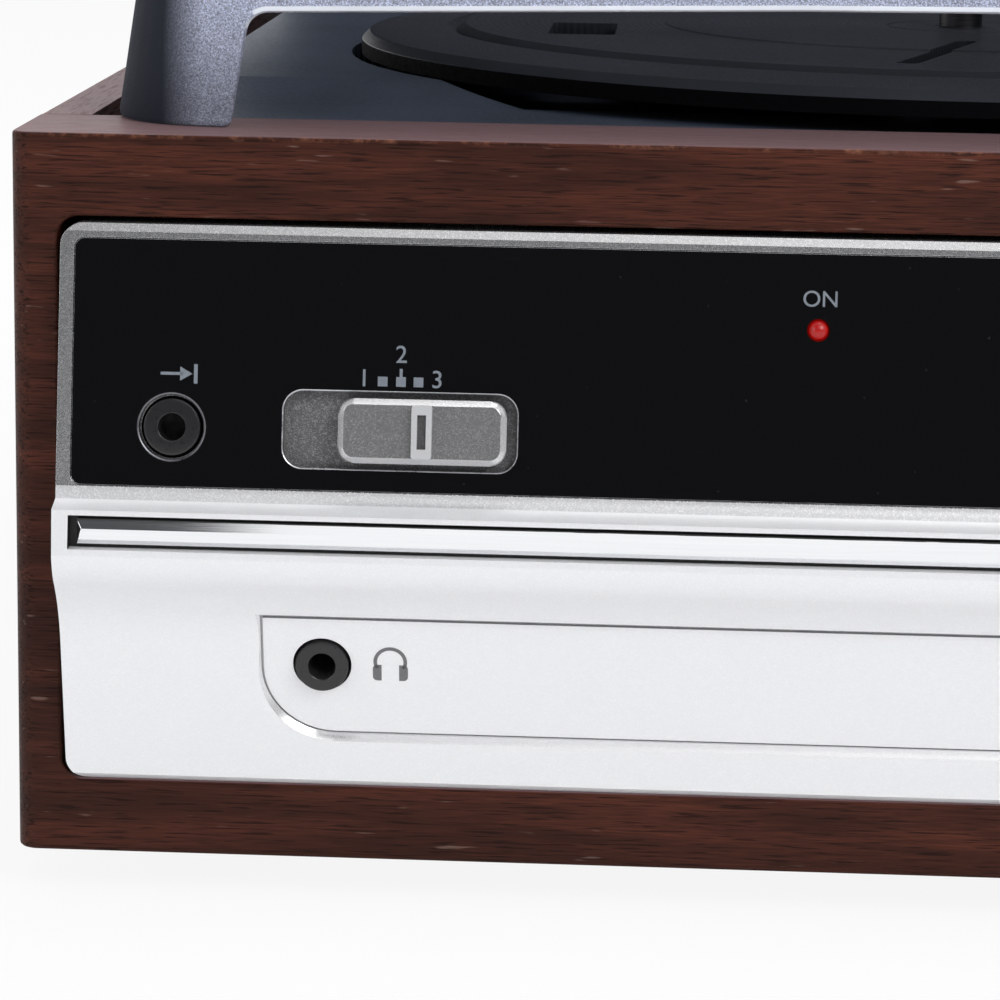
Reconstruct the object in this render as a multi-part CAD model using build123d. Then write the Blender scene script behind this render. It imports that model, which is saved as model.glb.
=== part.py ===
from build123d import *
import os
from math import atan, cos, radians, sin, sqrt, tan

# Stereo music centre: a wooden cabinet with a record deck under a smoked lid, a radio with a
# tuning dial, and sockets and slide switches in a silver fascia.
# Millimetres. While modelling, X runs right from the cabinet's left end, Y back from the front
# board's face and Z up from the cabinet's underside. Every piece is then moved so that the
# origin lies under the middle of the whole, on the surface that the feet stand on.

# ---- cabinet ----
CAB_W = 340.0
CAB_D = 310.0
CAB_H = 100.0
FRONT_T = 24.0
SIDE_T = 7.0
SIDE_SET_IN = 0.4
BOTTOM_T = 6.0
BACK_T = 3.0
CLEAT_W = 8.0
CLEAT_H = 4.5
FRONT_EDGE_R = 3.0
FIT = 0.3
PAST = 1.0  # how far a cutter runs past the face that it cuts, or a boss into its wall
VENTS = 6
VENT_FRONT = 90.0
VENT_PITCH = 10.0
VENT_W = 60.0
VENT_L = 4.0
BACK_VENTS = 5
BACK_VENT_Z = 0.5 * CAB_H
BACK_VENT_PITCH = 7.0
BACK_VENT_W = 50.0
BACK_VENT_H = 3.0
FOOT_TAPER = 1.5
FOOT_H = 6.0
FOOT_R = 11.0
FOOT_INSET = 42.0

# ---- fascia ----
FASCIA_EDGE = 7.1
FASCIA_BOTTOM = 0.105 * CAB_H
FASCIA_TOP = 0.88 * CAB_H
FASCIA_SIDE_GAP = 0.7
FASCIA_TOP_GAP = 0.8
FASCIA_BACK = 22.0
FASCIA_WALL = 2.6
FASCIA_CORNER_R = 3.0
TRIM_W = 1.9
PANEL_BOTTOM = 0.533 * CAB_H
PANEL_TOP = 0.862 * CAB_H
PANEL_PROUD_TOP = 1.2
PANEL_PROUD_BOTTOM = 6.7
PANEL_T = 1.2
LEDGE_Z = 0.515 * CAB_H
RIDGE_Z = 0.506 * CAB_H
RIDGE_PROUD = 10.3
BULGE_PROUD = 10.8
BULGE_Z = 0.444 * CAB_H
SWEEP_MID_Z = 0.396 * CAB_H
SWEEP_MID_PROUD = 8.4
SWEEP_LOW_Z = 0.3 * CAB_H
SWEEP_LOW_PROUD = 3.9
SWEEP_HOLLOW = 0.9
FASCIA_BOTTOM_PROUD = 0.2
FASCIA_LIP = 0.8
CROWN_DROP = 2.4
CROWN_DRAW_IN = 0.7
TRIM_LIP = 1.0
POST_R = 3.0
POST_INSET_X = 5.0
POST_INSET_Z = 6.0
SCALE_POST_R = 2.0
STRIP_Z = 0.476 * CAB_H
STRIP_H = 3.4
STRIP_D = 1.5
STRIP_SLOT_H = 4.6
STRIP_SLOT_D = 2.2
STRIP_END_GAP = 1.1
STRIP_SLOT_END = 2.2
STRIP_CREST = 0.2
INSET_LEFT = 27.5
INSET_TOP = 0.355 * CAB_H
INSET_BOTTOM = 0.182 * CAB_H
INSET_TOP_PROUD = 4.9
INSET_BOTTOM_PROUD = 0.5
INSET_CORNER_R = 10.0
INSET_WALL_LEAN = 35.0
INSET_GROOVE_W = 0.3
INSET_GROOVE_DEEP = 0.5

# ---- sockets, switches and lights ----
AUX_X = 22.6
AUX_Z = 0.613 * CAB_H
AUX_HOLE_R = 4.35
JACK_R = 3.9
JACK_BORE_R = 1.8
JACK_DEPTH = 14.0
JACK_RECESS = 0.3
JACK_BODY = 9.0
JACK_PAD = 5.5
JACK_PAD_W = 2.0
PHONES_X = 42.9
PHONES_Z = 0.285 * CAB_H
PHONES_PROUD = 0.7
PHONES_R = JACK_R - 0.2
FUNCTION_X = 53.35
FUNCTION_Z = 0.6145 * CAB_H
POCKET_W = 31.3
POCKET_H = 10.3
POCKET_DEEP = 1.9
POCKET_R = 2.6
POCKET_FLOOR_T = 1.4
SLIDER_W = 22.6
SLIDER_H = 8.7
SLIDER_T = 3.6
SLIDER_R = 2.2
SLIDER_EDGE = 0.8
SLIDER_RIB_W = 2.7
SLIDER_RIB_H = 7.2
SLIDER_RIB_T = 0.9
SLIDER_WINDOW_W = 1.2
SLIDER_WINDOW_H = 4.6
SLIDER_WINDOW_DEEP = 0.6
SLIDER_TRAVEL = 4.7
SWITCH_SHIFT = 0.7
SLIDER_OFFSET = SLIDER_TRAVEL / 2 + SWITCH_SHIFT
SLIDER_STEM_W = 3.0
SLIDER_STEM_H = 2.4
SLIDER_STEM_L = 6.5
SWITCH_W = 16.0
SWITCH_H = 7.0
BAND_SWITCH_BACK = 12.0
BAND_X = 0.5 * CAB_W
BAND_Z = 0.268 * CAB_H
LIGHT_R = 1.4
LIGHT_PROUD = 0.6
LIGHT_LENGTH = 8.0
POWER_LIGHT_X = 108.8
LIGHT_Z = 0.761 * CAB_H

# ---- dial and knobs ----
DIAL_X = 0.553 * CAB_W
DIAL_Z = 0.695 * CAB_H
DIAL_W = 92.0
DIAL_H = 20.0
LENS_T = 1.2
SCALE_DEPTH = 6.2
SCALE_T = 1.0
POINTER_TRAVEL = 62.0
POINTER_T = 0.8
POINTER_W = 1.6
POINTER_DEPTH = 4.4
POINTER_FOOT_UP = 3.0
POINTER_NECK = 1.0
POINTER_SLOT_W = 1.6
CARRIER_W = 6.0
CARRIER_H = 3.0
CARRIER_T = 1.0
SCALE_MARGIN_W = 3.0
SCALE_MARGIN_H = 2.0
LENS_LEDGE = 1.5
KNOB_R = 13.0
KNOB_H = 14.0
KNOB_GAP = 0.6
KNOB_EDGE_R = 1.2
KNOB_SHAFT_R = 3.0
KNOB_STEM_END = 13.0
KNOB_MARK_W = 1.4
KNOB_MARK_DEEP = 0.6
RUNNING = 0.05
VOLUME_X = CAB_W - 68.0
TUNING_X = CAB_W - 32.0
KNOB_Z = 0.69 * CAB_H
BOARD_DEPTH = 16.0
BOARD_T = 1.6
DRUM_R = 20.0
DRUM_T = 4.0
DRUM_GROOVE_W = 1.6
DRUM_GROOVE_DEEP = 0.8
DRUM_HOLE_R = 4.0
DRUM_SHAFT_END = 6.0
DRUM_DEPTH = 9.0
DRUM_X = DIAL_X + 25.0
DRUM_Z = 0.62 * CAB_H
CAPACITOR_W = 26.0
CAPACITOR_D = 20.0
POT_R = 8.5
POT_T = 9.0
POT_FLOOR = 2.0
BUSH_R = 4.5
BUSH_FLANGE_R = 6.0
BUSH_FLANGE_T = 4.0
SHAFT_SEAT = 7.0

# ---- record deck ----
DECK_CHANNEL_Z = CAB_H - 4.0
DECK_LIP_Z = CAB_H - 1.1
DECK_LIP_BACK = 54.7
DECK_SLOPE_BACK = 70.0
DECK_TOP = CAB_H + 1.6
DECK_EDGE = 14.3
DECK_BACK = CAB_D - 20.0
DECK_WALL = 2.5
DECK_CORNER_R = 12.0
BOSS_WALL = 2.5
SPEED_BOSS_R = 6.5
STOP_BOSS_W = 12.0
STOP_BOSS_L = 20.0
PLATTER_X = 135.2
PLATTER_Y = 128.3
WELL_R = 100.6
WELL_FLOOR = CAB_H - 4.0
WELL_HOLE_R = 6.0
PLATTER_R = 99.0
PLATTER_WALL = 2.5
PLATTER_T = 1.4
PLATTER_RIM_TOP = CAB_H + 5.2
PLATTER_RIM_EDGE = 1.4
PLATTER_SKIRT_BOTTOM = CAB_H + 1.4
PLATTER_TOP = CAB_H + 6.6
PLATTER_CREST_R = 89.0
PLATTER_CREST_RISE = 0.7
GROOVE_R = 85.0
GROOVE_W = 3.0
GROOVE_DEEP = 0.8
LABEL_R = 48.5
LABEL_RISE = 0.3
HUB_GROOVE_R = 12.0
HUB_GROOVE_W = 0.3
BELT_RING_R = 54.0
BELT_RING_BOTTOM = CAB_H - 2.8
HUB_R = 12.0
HUB_BOTTOM = CAB_H - 2.0
SPINDLE_R = 3.55
SPINDLE_FOOT_R = 4.0
SPINDLE_TOP = CAB_H + 18.0
SPINDLE_SEAT = 14.0
BUSHING_R = 5.8
BUSHING_FLANGE_R = 15.0
BUSHING_FLANGE_T = 3.0
BUSHING_L = 15.0
WASHER_R = 9.0
MOTOR_ANGLE = 150.0
PULLEY_FROM_CENTRE = 66.0
PULLEY_R = 6.0
PULLEY_BOTTOM = CAB_H - 3.0
PULLEY_TOP = CAB_H + 3.0
MOTOR_R = 18.0
MOTOR_H = 24.0
MOTOR_SHAFT_R = 1.0
MOTOR_CAP_T = 2.0
MOTOR_CAP_R = MOTOR_R - 4.0
MOTOR_EAR_L = MOTOR_R + 6.0
MOTOR_EAR_W = 10.0
MOTOR_SHAFT_SEAT = 8.0
PULLEY_RIM = 1.2
PULLEY_ROOM = 2.0
PULLEY_RIM_T = 0.7
BELT_T = 0.8
BELT_H = 4.0
BELT_GAP = 0.3
WINDOW_W = 10.6
WINDOW_L = 24.0
WINDOW_OUT = 61.9
WINDOW_DOWN = 16.3
SLOT_W = 3.2
SLOT_L = 43.0
SLOT_OUT = 6.8
SLOT_DOWN = 50.3
SLOT_LEAN = 16.3
WINDOW_R = 1.0
SLOT_FLOOR = 2.5
ADAPTER_X = CAB_W - 102.0
ADAPTER_Y = CAB_D - 46.0
ADAPTER_R = 19.0
ADAPTER_H = 5.0
ADAPTER_SEAT = 1.5
ADAPTER_EDGE = 1.2
ADAPTER_BOSS_WALL = 3.0
ADAPTER_RIM = 4.0
ADAPTER_HUB_R = 8.0
ADAPTER_DISH = 1.6

# ---- tonearm ----
ARM_X = CAB_W - 48.0
ARM_Y = CAB_D - 78.0
ARM_Z = CAB_H + 24.0
ARM_BASE_W = 46.0
ARM_BASE_FRONT = ARM_Y - 42.0
ARM_BASE_BACK = ARM_Y + 22.0
ARM_BASE_T = 4.0
ARM_TOWER_R = 9.0
ARM_TOWER_TOP = CAB_H + 11.0
ARM_BASE_SHIFT = 2.0
ARM_BASE_R = 9.0
ARM_BASE_EDGE = 1.0
CUE_CHEEK_T = 2.0
CUE_CHEEK_H = 7.0
CUE_CHEEK_L = 8.0
CUE_CHEEK_OUT = 1.5
CUE_AXLE_UP = 4.0
CUE_AXLE_R = 1.2
CUE_AXLE_REACH = 3.5
CUE_HUB_R = 3.2
CUE_HUB_W = 2.8
CUE_ARM_W = 2.4
CUE_ARM_L = 22.0
CUE_GRIP_R = 2.6
CUE_GRIP_OUT = 3.6
YOKE_SHAFT_R = 3.0
YOKE_R = 14.0
YOKE_T = 3.0
YOKE_EAR_T = 3.0
YOKE_EAR_W = 9.0
YOKE_INNER = 13.0
PIVOT_R = 1.5
ARM_HUB_W = 11.0
ARM_HUB_FRONT = 12.0
ARM_HUB_BACK = 14.0
ARM_HUB_H = 10.0
ARM_HUB_R = 2.5
ARM_TAIL_R = 6.5
ARM_TAIL_END = 26.0
ARM_TUBE_R = 3.4
HEADSHELL_Y = 60.0
ARM_STRAIGHT = ARM_Y - HEADSHELL_Y
HEADSHELL_L = 40.0
HEADSHELL_W = 17.0
HEADSHELL_T = 3.0
HEADSHELL_ANGLE = 22.0
HEADSHELL_R = 5.0
HEADSHELL_BACK = 4.0
LUG_L = 9.0
LUG_W = 5.0
LUG_T = 1.6
RECORD_TOP = CAB_H + 8.2
CARTRIDGE_L = 24.0
CARTRIDGE_W = 12.0
CARTRIDGE_EDGE = 2.0
CARTRIDGE_SET_BACK = 3.0
STYLUS_H = 3.0
STYLUS_W = 5.0
STYLUS_L = 16.0
STYLUS_TIP_Y = 5.0
STYLUS_TIP_R = 0.3
STYLUS_ROOT_R = 0.8
STYLUS_ROOT_L = 0.2
REST_Y = 112.0
REST_R = 8.0
CLIP_W = 4.0
CLIP_T = 1.8
CLIP_REACH = 15.0
CLIP_OUT = 7.0
CLIP_UP = 1.2
CLIP_HUB_R = 2.4
CLIP_PIN_R = 1.0
REST_FOOT_T = 4.0
REST_PILLAR_R = 5.0
REST_DEEP = 6.0
REST_FORK_T = 4.0
REST_FORK_LEFT = 7.0
REST_FORK_RIGHT = 9.5
REST_WALL = 2.0
REST_EAR_R = 2.5
CLIP_HOOK = 2.6
LIFTER_RADIUS = 29.0
LIFTER_TOP = CAB_H + 14.4
LIFTER_POST_R = 2.5
LIFTER_TURN = 12.0
LIFTER_W = 4.0
LIFTER_T = 1.6
LIFTER_POST_L = 6.0
LIFTER_POST_SINK = 0.5
CUE_X = CAB_W - 29.0
CUE_Y = ARM_Y - 26.0
SPEED_X = CAB_W - 29.0
SPEED_Y = 84.0
SPEED_KNOB_R = 8.0
SPEED_KNOB_H = 9.0
SPEED_STEM_R = 2.5
SPEED_MARK_W = 1.2
SPEED_MARK_DEEP = 0.6
KNOB_STEM_UNDER = 3.0
STOP_X = CAB_W - 29.0
STOP_Y = 132.0
STOP_TRAVEL = 6.0
STOP_W = 7.0
STOP_L = 6.0
STOP_H = 5.0
STOP_STEM_W = 3.4
STOP_STEM_L = 3.0
DECK_KNOB_R = 1.0

# ---- lid and its hinges ----
LID_EDGE = 11.0
LID_FRONT = 10.0
LID_BACK = CAB_D - 12.0
LID_H = 50.0
LID_WALL = 2.4
LID_DRAFT = 8.5
LID_CORNER_R = 16.0
LID_TOP_R = 7.0
OPENING_EDGE = 28.5
OPENING_LEAN = 2.3
OPENING_H = 15.4
OPENING_ARCH = 2.0
OPENING_R = 3.0
OPENING_CUT = 30.0
SIDE_OPENING_FRONT = 36.0
SIDE_OPENING_BACK = LID_BACK - 76.0
HINGE_X = 62.0
HINGE_Y = CAB_D - 7.0
HINGE_Z = CAB_H + 2.5
HINGE_R = 3.4
HINGE_PIN_R = 1.5
HINGE_LEAF_W = 14.0
HINGE_KNUCKLE_W = 6.0
HINGE_LEAF_T = 2.4
HINGE_LEAF_H = 18.0
HINGE_LEAF_LAP = 4.0
HINGE_WEB_LAP = 3.0
HINGE_FOOT_FRONT = 6.0

# ---- inside the cabinet ----
SPEAKER_Y = CAB_D - 140.0
SPEAKER_Z = 0.5 * CAB_H
SPEAKER_R = 0.38 * CAB_H
SPEAKER_RIM = 5.0
SPEAKER_HOLE_R = SPEAKER_R - SPEAKER_RIM
GRILLE_R = SPEAKER_R - 1.0
GRILLE_T = 1.6
GRILLE_SLOTS = 7
GRILLE_MARGIN = 3.0
GRILLE_PITCH = 0.28 * (SPEAKER_HOLE_R - GRILLE_MARGIN)
GRILLE_SLOT_H = 3.2
CONE_FACE_R = 8.0
CONE_DEEP = 6.0
BASKET_T = 2.0
MAGNET_R = 16.0
MAGNET_FRONT = 14.0
MAGNET_BACK = 24.0
TRANSFORMER_X = 52.0
TRANSFORMER_Y = CAB_D - 42.0
CORE_W = 42.0
CORE_L = 24.0
CORE_H = 36.0
COIL_W = 24.0
COIL_L = 40.0
COIL_H = 22.0
COIL_R = 4.0
MAIN_BOARD_X = 0.5 * CAB_W + 5.0
MAIN_BOARD_Y = CAB_D - 95.0
MAIN_BOARD_W = 130.0
MAIN_BOARD_L = 100.0
SPACER_H = 8.0
SPACER_R = 4.0
SPACER_INSET = 6.0
HEATSINK_W = 60.0
HEATSINK_T = 8.0
HEATSINK_H = 27.0
CANS = 3
CAN_R = 8.0
CAN_H = 21.0
CAN_PITCH = 24.0
AERIAL_Y = CAB_D - 26.0
AERIAL_Z = 0.7 * CAB_H
AERIAL_L = 110.0
AERIAL_R = 5.0
AERIAL_COIL_START = 12.0
AERIAL_COIL_END = 40.0
AERIAL_COIL_T = 2.0
AERIAL_CLIP_X = 50.0
AERIAL_CLIP_W = 5.0
AERIAL_CLIP_H = 14.0
AERIAL_CLIP_REACH = 3.0
LINE_OUT_X = CAB_W - 90.0
LINE_OUT_Z = 0.4 * CAB_H
LINE_OUT_PITCH = 14.0
LINE_OUT_R = 4.1
LINE_OUT_L = 8.0
LINE_OUT_BODY = 16.0
LINE_OUT_BORE_R = 1.7
LINE_OUT_RING_R = 5.2
LINE_OUT_RING_PROUD = 0.5
INLET_X = 60.0
INLET_Z = 0.3 * CAB_H
INLET_HOLE_W = 22.0
INLET_HOLE_H = 16.0
INLET_DEEP = 14.0
INLET_FLANGE_W = 28.0
INLET_FLANGE_H = 20.0
INLET_FLANGE_T = 1.6
INLET_WELL_W = 16.0
INLET_WELL_H = 9.0
INLET_WELL_DEEP = 13.0
INLET_PIN_PITCH = 6.8
INLET_PIN_R = 1.2
SCREW_R = 3.2

# ---- worked out from the above ----
MID_X = CAB_W / 2
SIDE_INNER = SIDE_SET_IN + SIDE_T
CUT_LEFT = FASCIA_EDGE - FASCIA_SIDE_GAP
CUT_BOTTOM = FASCIA_BOTTOM
CUT_TOP = FASCIA_TOP + FASCIA_TOP_GAP
PANEL_SLOPE = (PANEL_PROUD_BOTTOM - PANEL_PROUD_TOP) / (PANEL_TOP - PANEL_BOTTOM)
PANEL_LEFT = FASCIA_EDGE + TRIM_W
PANEL_TILT = atan(PANEL_SLOPE)
INSET_SLOPE = (INSET_TOP_PROUD - INSET_BOTTOM_PROUD) / (INSET_TOP - INSET_BOTTOM)
INSET_TILT = atan(INSET_SLOPE)
BEARING_R = SPINDLE_FOOT_R + RUNNING
LABEL_TOP = PLATTER_TOP + LABEL_RISE
PULLEY_X = PLATTER_X + PULLEY_FROM_CENTRE * cos(radians(MOTOR_ANGLE))
PULLEY_Y = PLATTER_Y + PULLEY_FROM_CENTRE * sin(radians(MOTOR_ANGLE))
DECK_UNDER = WELL_FLOOR - DECK_WALL
BACK_TOP = DECK_UNDER
CARTRIDGE_H = ARM_Z - HEADSHELL_T / 2 - STYLUS_H - RECORD_TOP
EAST = (1, 0, 0)
UP = (0, 0, 1)
BASE = (Align.CENTER, Align.CENTER, Align.MIN)


# ---- building blocks ----
def block(x0, x1, y0, y1, z0, z1):
    """A box between two corners."""
    middle = Pos((x0 + x1) / 2, (y0 + y1) / 2, (z0 + z1) / 2)
    return middle * Box(x1 - x0, y1 - y0, z1 - z0)


def post(x, y, z0, z1, r):
    """An upright round bar."""
    return Pos(x, y, z0) * Cylinder(r, z1 - z0, align=BASE)


def bar_x(y, z, x0, x1, r):
    """A round bar that lies along X."""
    return Pos(x0, y, z) * Rot(0, 90, 0) * Cylinder(r, x1 - x0, align=BASE)


def bar_y(x, z, y0, y1, r):
    """A round bar that lies along Y."""
    return Pos(x, y0, z) * Rot(-90, 0, 0) * Cylinder(r, y1 - y0, align=BASE)


def mirrored(shape):
    """The same piece at the other end of the cabinet."""
    return mirror(shape, Plane(origin=(MID_X, 0, 0), z_dir=EAST))


def both_ends(shape):
    return [shape, mirrored(shape)]


def panel_y(z):
    """How far back the black panel's face lies at a height."""
    return -PANEL_PROUD_TOP - (PANEL_TOP - z) * PANEL_SLOPE


def inset_y(z):
    """How far back the lower inset's face lies at a height."""
    return -INSET_TOP_PROUD + (INSET_TOP - z) * INSET_SLOPE


def on_panel(x, z):
    """A plane on the black panel's face, looking out of it."""
    out = (0, -cos(PANEL_TILT), sin(PANEL_TILT))
    return Plane(origin=(x, panel_y(z), z), x_dir=EAST, z_dir=out)


def on_inset(x, z):
    """A plane on the lower inset's face, looking out of it."""
    out = (0, -cos(INSET_TILT), -sin(INSET_TILT))
    return Plane(origin=(x, inset_y(z), z), x_dir=EAST, z_dir=out)


def bar_on(plane, n0, n1, r):
    """A round bar square to a face, from one depth to another. Depths are negative behind it."""
    return plane.location * Pos(0, 0, n0) * Cylinder(r, n1 - n0, align=BASE)


def slab_on(plane, w, h, n0, n1, r=0.0):
    """A plate parallel to a face, with round corners where r is given."""
    outline = RectangleRounded(w, h, r) if r else Rectangle(w, h)
    return plane.location * Pos(0, 0, n0) * extrude(outline, n1 - n0)


def fascia_outline():
    """The fascia's outline seen from the front, extruded back and forth."""
    w = CAB_W - 2 * FASCIA_EDGE
    h = FASCIA_TOP - FASCIA_BOTTOM
    plane = Plane(origin=(MID_X, 0, (FASCIA_TOP + FASCIA_BOTTOM) / 2), x_dir=EAST, z_dir=(0, -1, 0))
    return extrude(plane * RectangleRounded(w, h, FASCIA_CORNER_R), 2 * FASCIA_BACK, both=True)


# ---- cabinet ----
def make_front_board():
    board = block(0, CAB_W, 0, FRONT_T, 0, CAB_H)
    uprights = board.edges().filter_by(Axis.Z).group_by(Axis.Y)[0]
    board = fillet(uprights, FRONT_EDGE_R)
    opening = block(CUT_LEFT, CAB_W - CUT_LEFT, -PAST, FRONT_T + PAST, CUT_BOTTOM, CUT_TOP)
    return board - fillet(opening.edges().filter_by(Axis.Y), FASCIA_CORNER_R)


def make_side_board():
    board = block(SIDE_SET_IN, SIDE_INNER, FRONT_T, CAB_D, 0, CAB_H)
    cleat_x = SIDE_INNER + CLEAT_W
    board += block(SIDE_INNER, cleat_x, FRONT_T, CAB_D - BACK_T, DECK_UNDER - CLEAT_H, DECK_UNDER)
    hole = bar_x(SPEAKER_Y, SPEAKER_Z, -PAST, SIDE_INNER + PAST, SPEAKER_HOLE_R)
    seat = bar_x(SPEAKER_Y, SPEAKER_Z, -PAST, SIDE_SET_IN + GRILLE_T, GRILLE_R + FIT)
    return board - hole - seat


def make_bottom_board():
    board = block(SIDE_INNER, CAB_W - SIDE_INNER, FRONT_T, CAB_D - BACK_T, 0, BOTTOM_T)
    half = VENT_W / 2
    for row in range(VENTS):
        y = VENT_FRONT + VENT_PITCH * row
        board -= block(MID_X - half, MID_X + half, y, y + VENT_L, -PAST, BOTTOM_T + PAST)
    return board


def make_back_panel():
    panel = block(SIDE_INNER, CAB_W - SIDE_INNER, CAB_D - BACK_T, CAB_D, 0, BACK_TOP)
    y0 = CAB_D - BACK_T - PAST
    y1 = CAB_D + PAST
    w = INLET_HOLE_W / 2
    h = INLET_HOLE_H / 2
    panel -= block(INLET_X - w, INLET_X + w, y0, y1, INLET_Z - h, INLET_Z + h)
    for x in (LINE_OUT_X, LINE_OUT_X + LINE_OUT_PITCH):
        panel -= bar_y(x, LINE_OUT_Z, y0, y1, LINE_OUT_RING_R + FIT)
    half = BACK_VENT_W / 2
    for row in range(BACK_VENTS):
        z = BACK_VENT_Z + BACK_VENT_PITCH * row
        panel -= block(INLET_X - half, INLET_X + half, y0, y1, z, z + BACK_VENT_H)
    return panel


def make_feet():
    feet = []
    for x in (FOOT_INSET, CAB_W - FOOT_INSET):
        for y in (FOOT_INSET, CAB_D - FOOT_INSET):
            foot = Pos(x, y, -FOOT_H) * Cone(FOOT_R - FOOT_TAPER, FOOT_R, FOOT_H, align=BASE)
            feet.append(foot - post(x, y, -FOOT_H - PAST, -FOOT_H / 2, SCREW_R))
    return feet


# ---- fascia ----
def fascia_profile():
    """The fascia's section, from the top edge down over the bulge to the bottom edge."""
    panel_foot = (panel_y(LEDGE_Z), LEDGE_Z)
    ridge = (-RIDGE_PROUD, RIDGE_Z)
    bulge = (-BULGE_PROUD, BULGE_Z)
    sweep = (-SWEEP_MID_PROUD, SWEEP_MID_Z)
    low = (-SWEEP_LOW_PROUD, SWEEP_LOW_Z)
    bend_y = -(SWEEP_MID_PROUD + SWEEP_LOW_PROUD) / 2 + SWEEP_HOLLOW
    bend = (bend_y, (SWEEP_MID_Z + SWEEP_LOW_Z) / 2 - 0.2)
    crown = (-BULGE_PROUD + CROWN_DRAW_IN, BULGE_Z - CROWN_DROP)
    lip = FASCIA_TOP - TRIM_LIP
    top = Polyline(
        (FASCIA_BACK, FASCIA_TOP),
        (-FASCIA_BOTTOM_PROUD, FASCIA_TOP),
        (panel_y(lip), lip),
        panel_foot,
        ridge,
        bulge,
    )
    under = ThreePointArc(bulge, crown, sweep)
    hollow = ThreePointArc(sweep, bend, low)
    foot = Polyline(
        low,
        (-FASCIA_BOTTOM_PROUD, FASCIA_BOTTOM + FASCIA_LIP),
        (FASCIA_LIP - FASCIA_BOTTOM_PROUD, FASCIA_BOTTOM),
        (FASCIA_BACK, FASCIA_BOTTOM),
        (FASCIA_BACK, FASCIA_TOP),
    )
    return make_face([*top.edges(), *under.edges(), *hollow.edges(), *foot.edges()])


def fascia_hollow():
    """The space behind the fascia's walls, as a section."""
    behind_panel = FASCIA_WALL + PANEL_T + FIT
    back = FASCIA_BACK + PAST
    inner = Polyline(
        (back, FASCIA_TOP - FASCIA_WALL),
        (panel_y(FASCIA_TOP) + behind_panel, FASCIA_TOP - FASCIA_WALL),
        (panel_y(PANEL_BOTTOM) + behind_panel, PANEL_BOTTOM),
        (-RIDGE_PROUD + STRIP_SLOT_D + FASCIA_WALL, RIDGE_Z),
        (-RIDGE_PROUD + STRIP_SLOT_D + FASCIA_WALL, BULGE_Z),
        (-SWEEP_LOW_PROUD + FASCIA_WALL, SWEEP_LOW_Z + 2),
        (FASCIA_WALL, FASCIA_BOTTOM + FASCIA_WALL),
        (back, FASCIA_BOTTOM + FASCIA_WALL),
        (back, FASCIA_TOP - FASCIA_WALL),
    )
    return make_face(inner.edges())


def along_cabinet(face, x0, x1):
    """A section drawn in Y and Z, extruded along the cabinet."""
    return extrude(Plane(origin=(x0, 0, 0), x_dir=(0, 1, 0), z_dir=EAST) * face, x1 - x0, dir=EAST)


def inset_outline(shrink, n0, n1, lean=0.0):
    """The lower inset's outline, with big round lower corners and walls that lean outwards."""
    w = CAB_W - 2 * (FASCIA_EDGE + INSET_LEFT) - 2 * shrink
    h = (INSET_TOP - INSET_BOTTOM) / cos(INSET_TILT)
    sheet = Rectangle(w, h - 2 * shrink)
    sheet = fillet(sheet.vertices().group_by(Axis.Y)[0], INSET_CORNER_R - shrink)
    plane = on_inset(MID_X, (INSET_TOP + INSET_BOTTOM) / 2)
    return plane.location * Pos(0, 0, n0) * extrude(sheet, n1 - n0, taper=-lean)


def inset_groove():
    """The narrow groove along the foot of the inset's wall."""
    outer = inset_outline(0, -INSET_GROOVE_DEEP, FIT / 3)
    return outer - inset_outline(INSET_GROOVE_W, -INSET_GROOVE_DEEP - PAST, PAST)


def panel_height():
    return (PANEL_TOP - PANEL_BOTTOM) / cos(PANEL_TILT)


def panel_middle():
    return on_panel(MID_X, (PANEL_TOP + PANEL_BOTTOM) / 2)


def fascia_posts():
    """Pillars behind the panel for the control board and the scale, and pads for the sockets."""
    posts = []
    left = PANEL_LEFT + POST_INSET_X
    seat = -PANEL_T - PAST
    for x in (left, CAB_W - left):
        for z in (PANEL_BOTTOM + POST_INSET_Z, PANEL_TOP - POST_INSET_Z):
            posts.append(bar_on(on_panel(x, z), -BOARD_DEPTH, seat, POST_R))
    reach = DIAL_W / 2 + 1
    for x in (DIAL_X - reach, DIAL_X + reach):
        for z in (DIAL_Z - DIAL_H / 2, DIAL_Z + DIAL_H / 2):
            posts.append(bar_on(on_panel(x, z), -SCALE_DEPTH, seat, SCALE_POST_R))
    pad_r = JACK_R + JACK_PAD_W
    posts.append(bar_on(on_panel(AUX_X, AUX_Z), -JACK_PAD, seat, pad_r))
    posts.append(bar_on(on_inset(PHONES_X, PHONES_Z), -JACK_PAD, -PAST, pad_r))
    return posts


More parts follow.
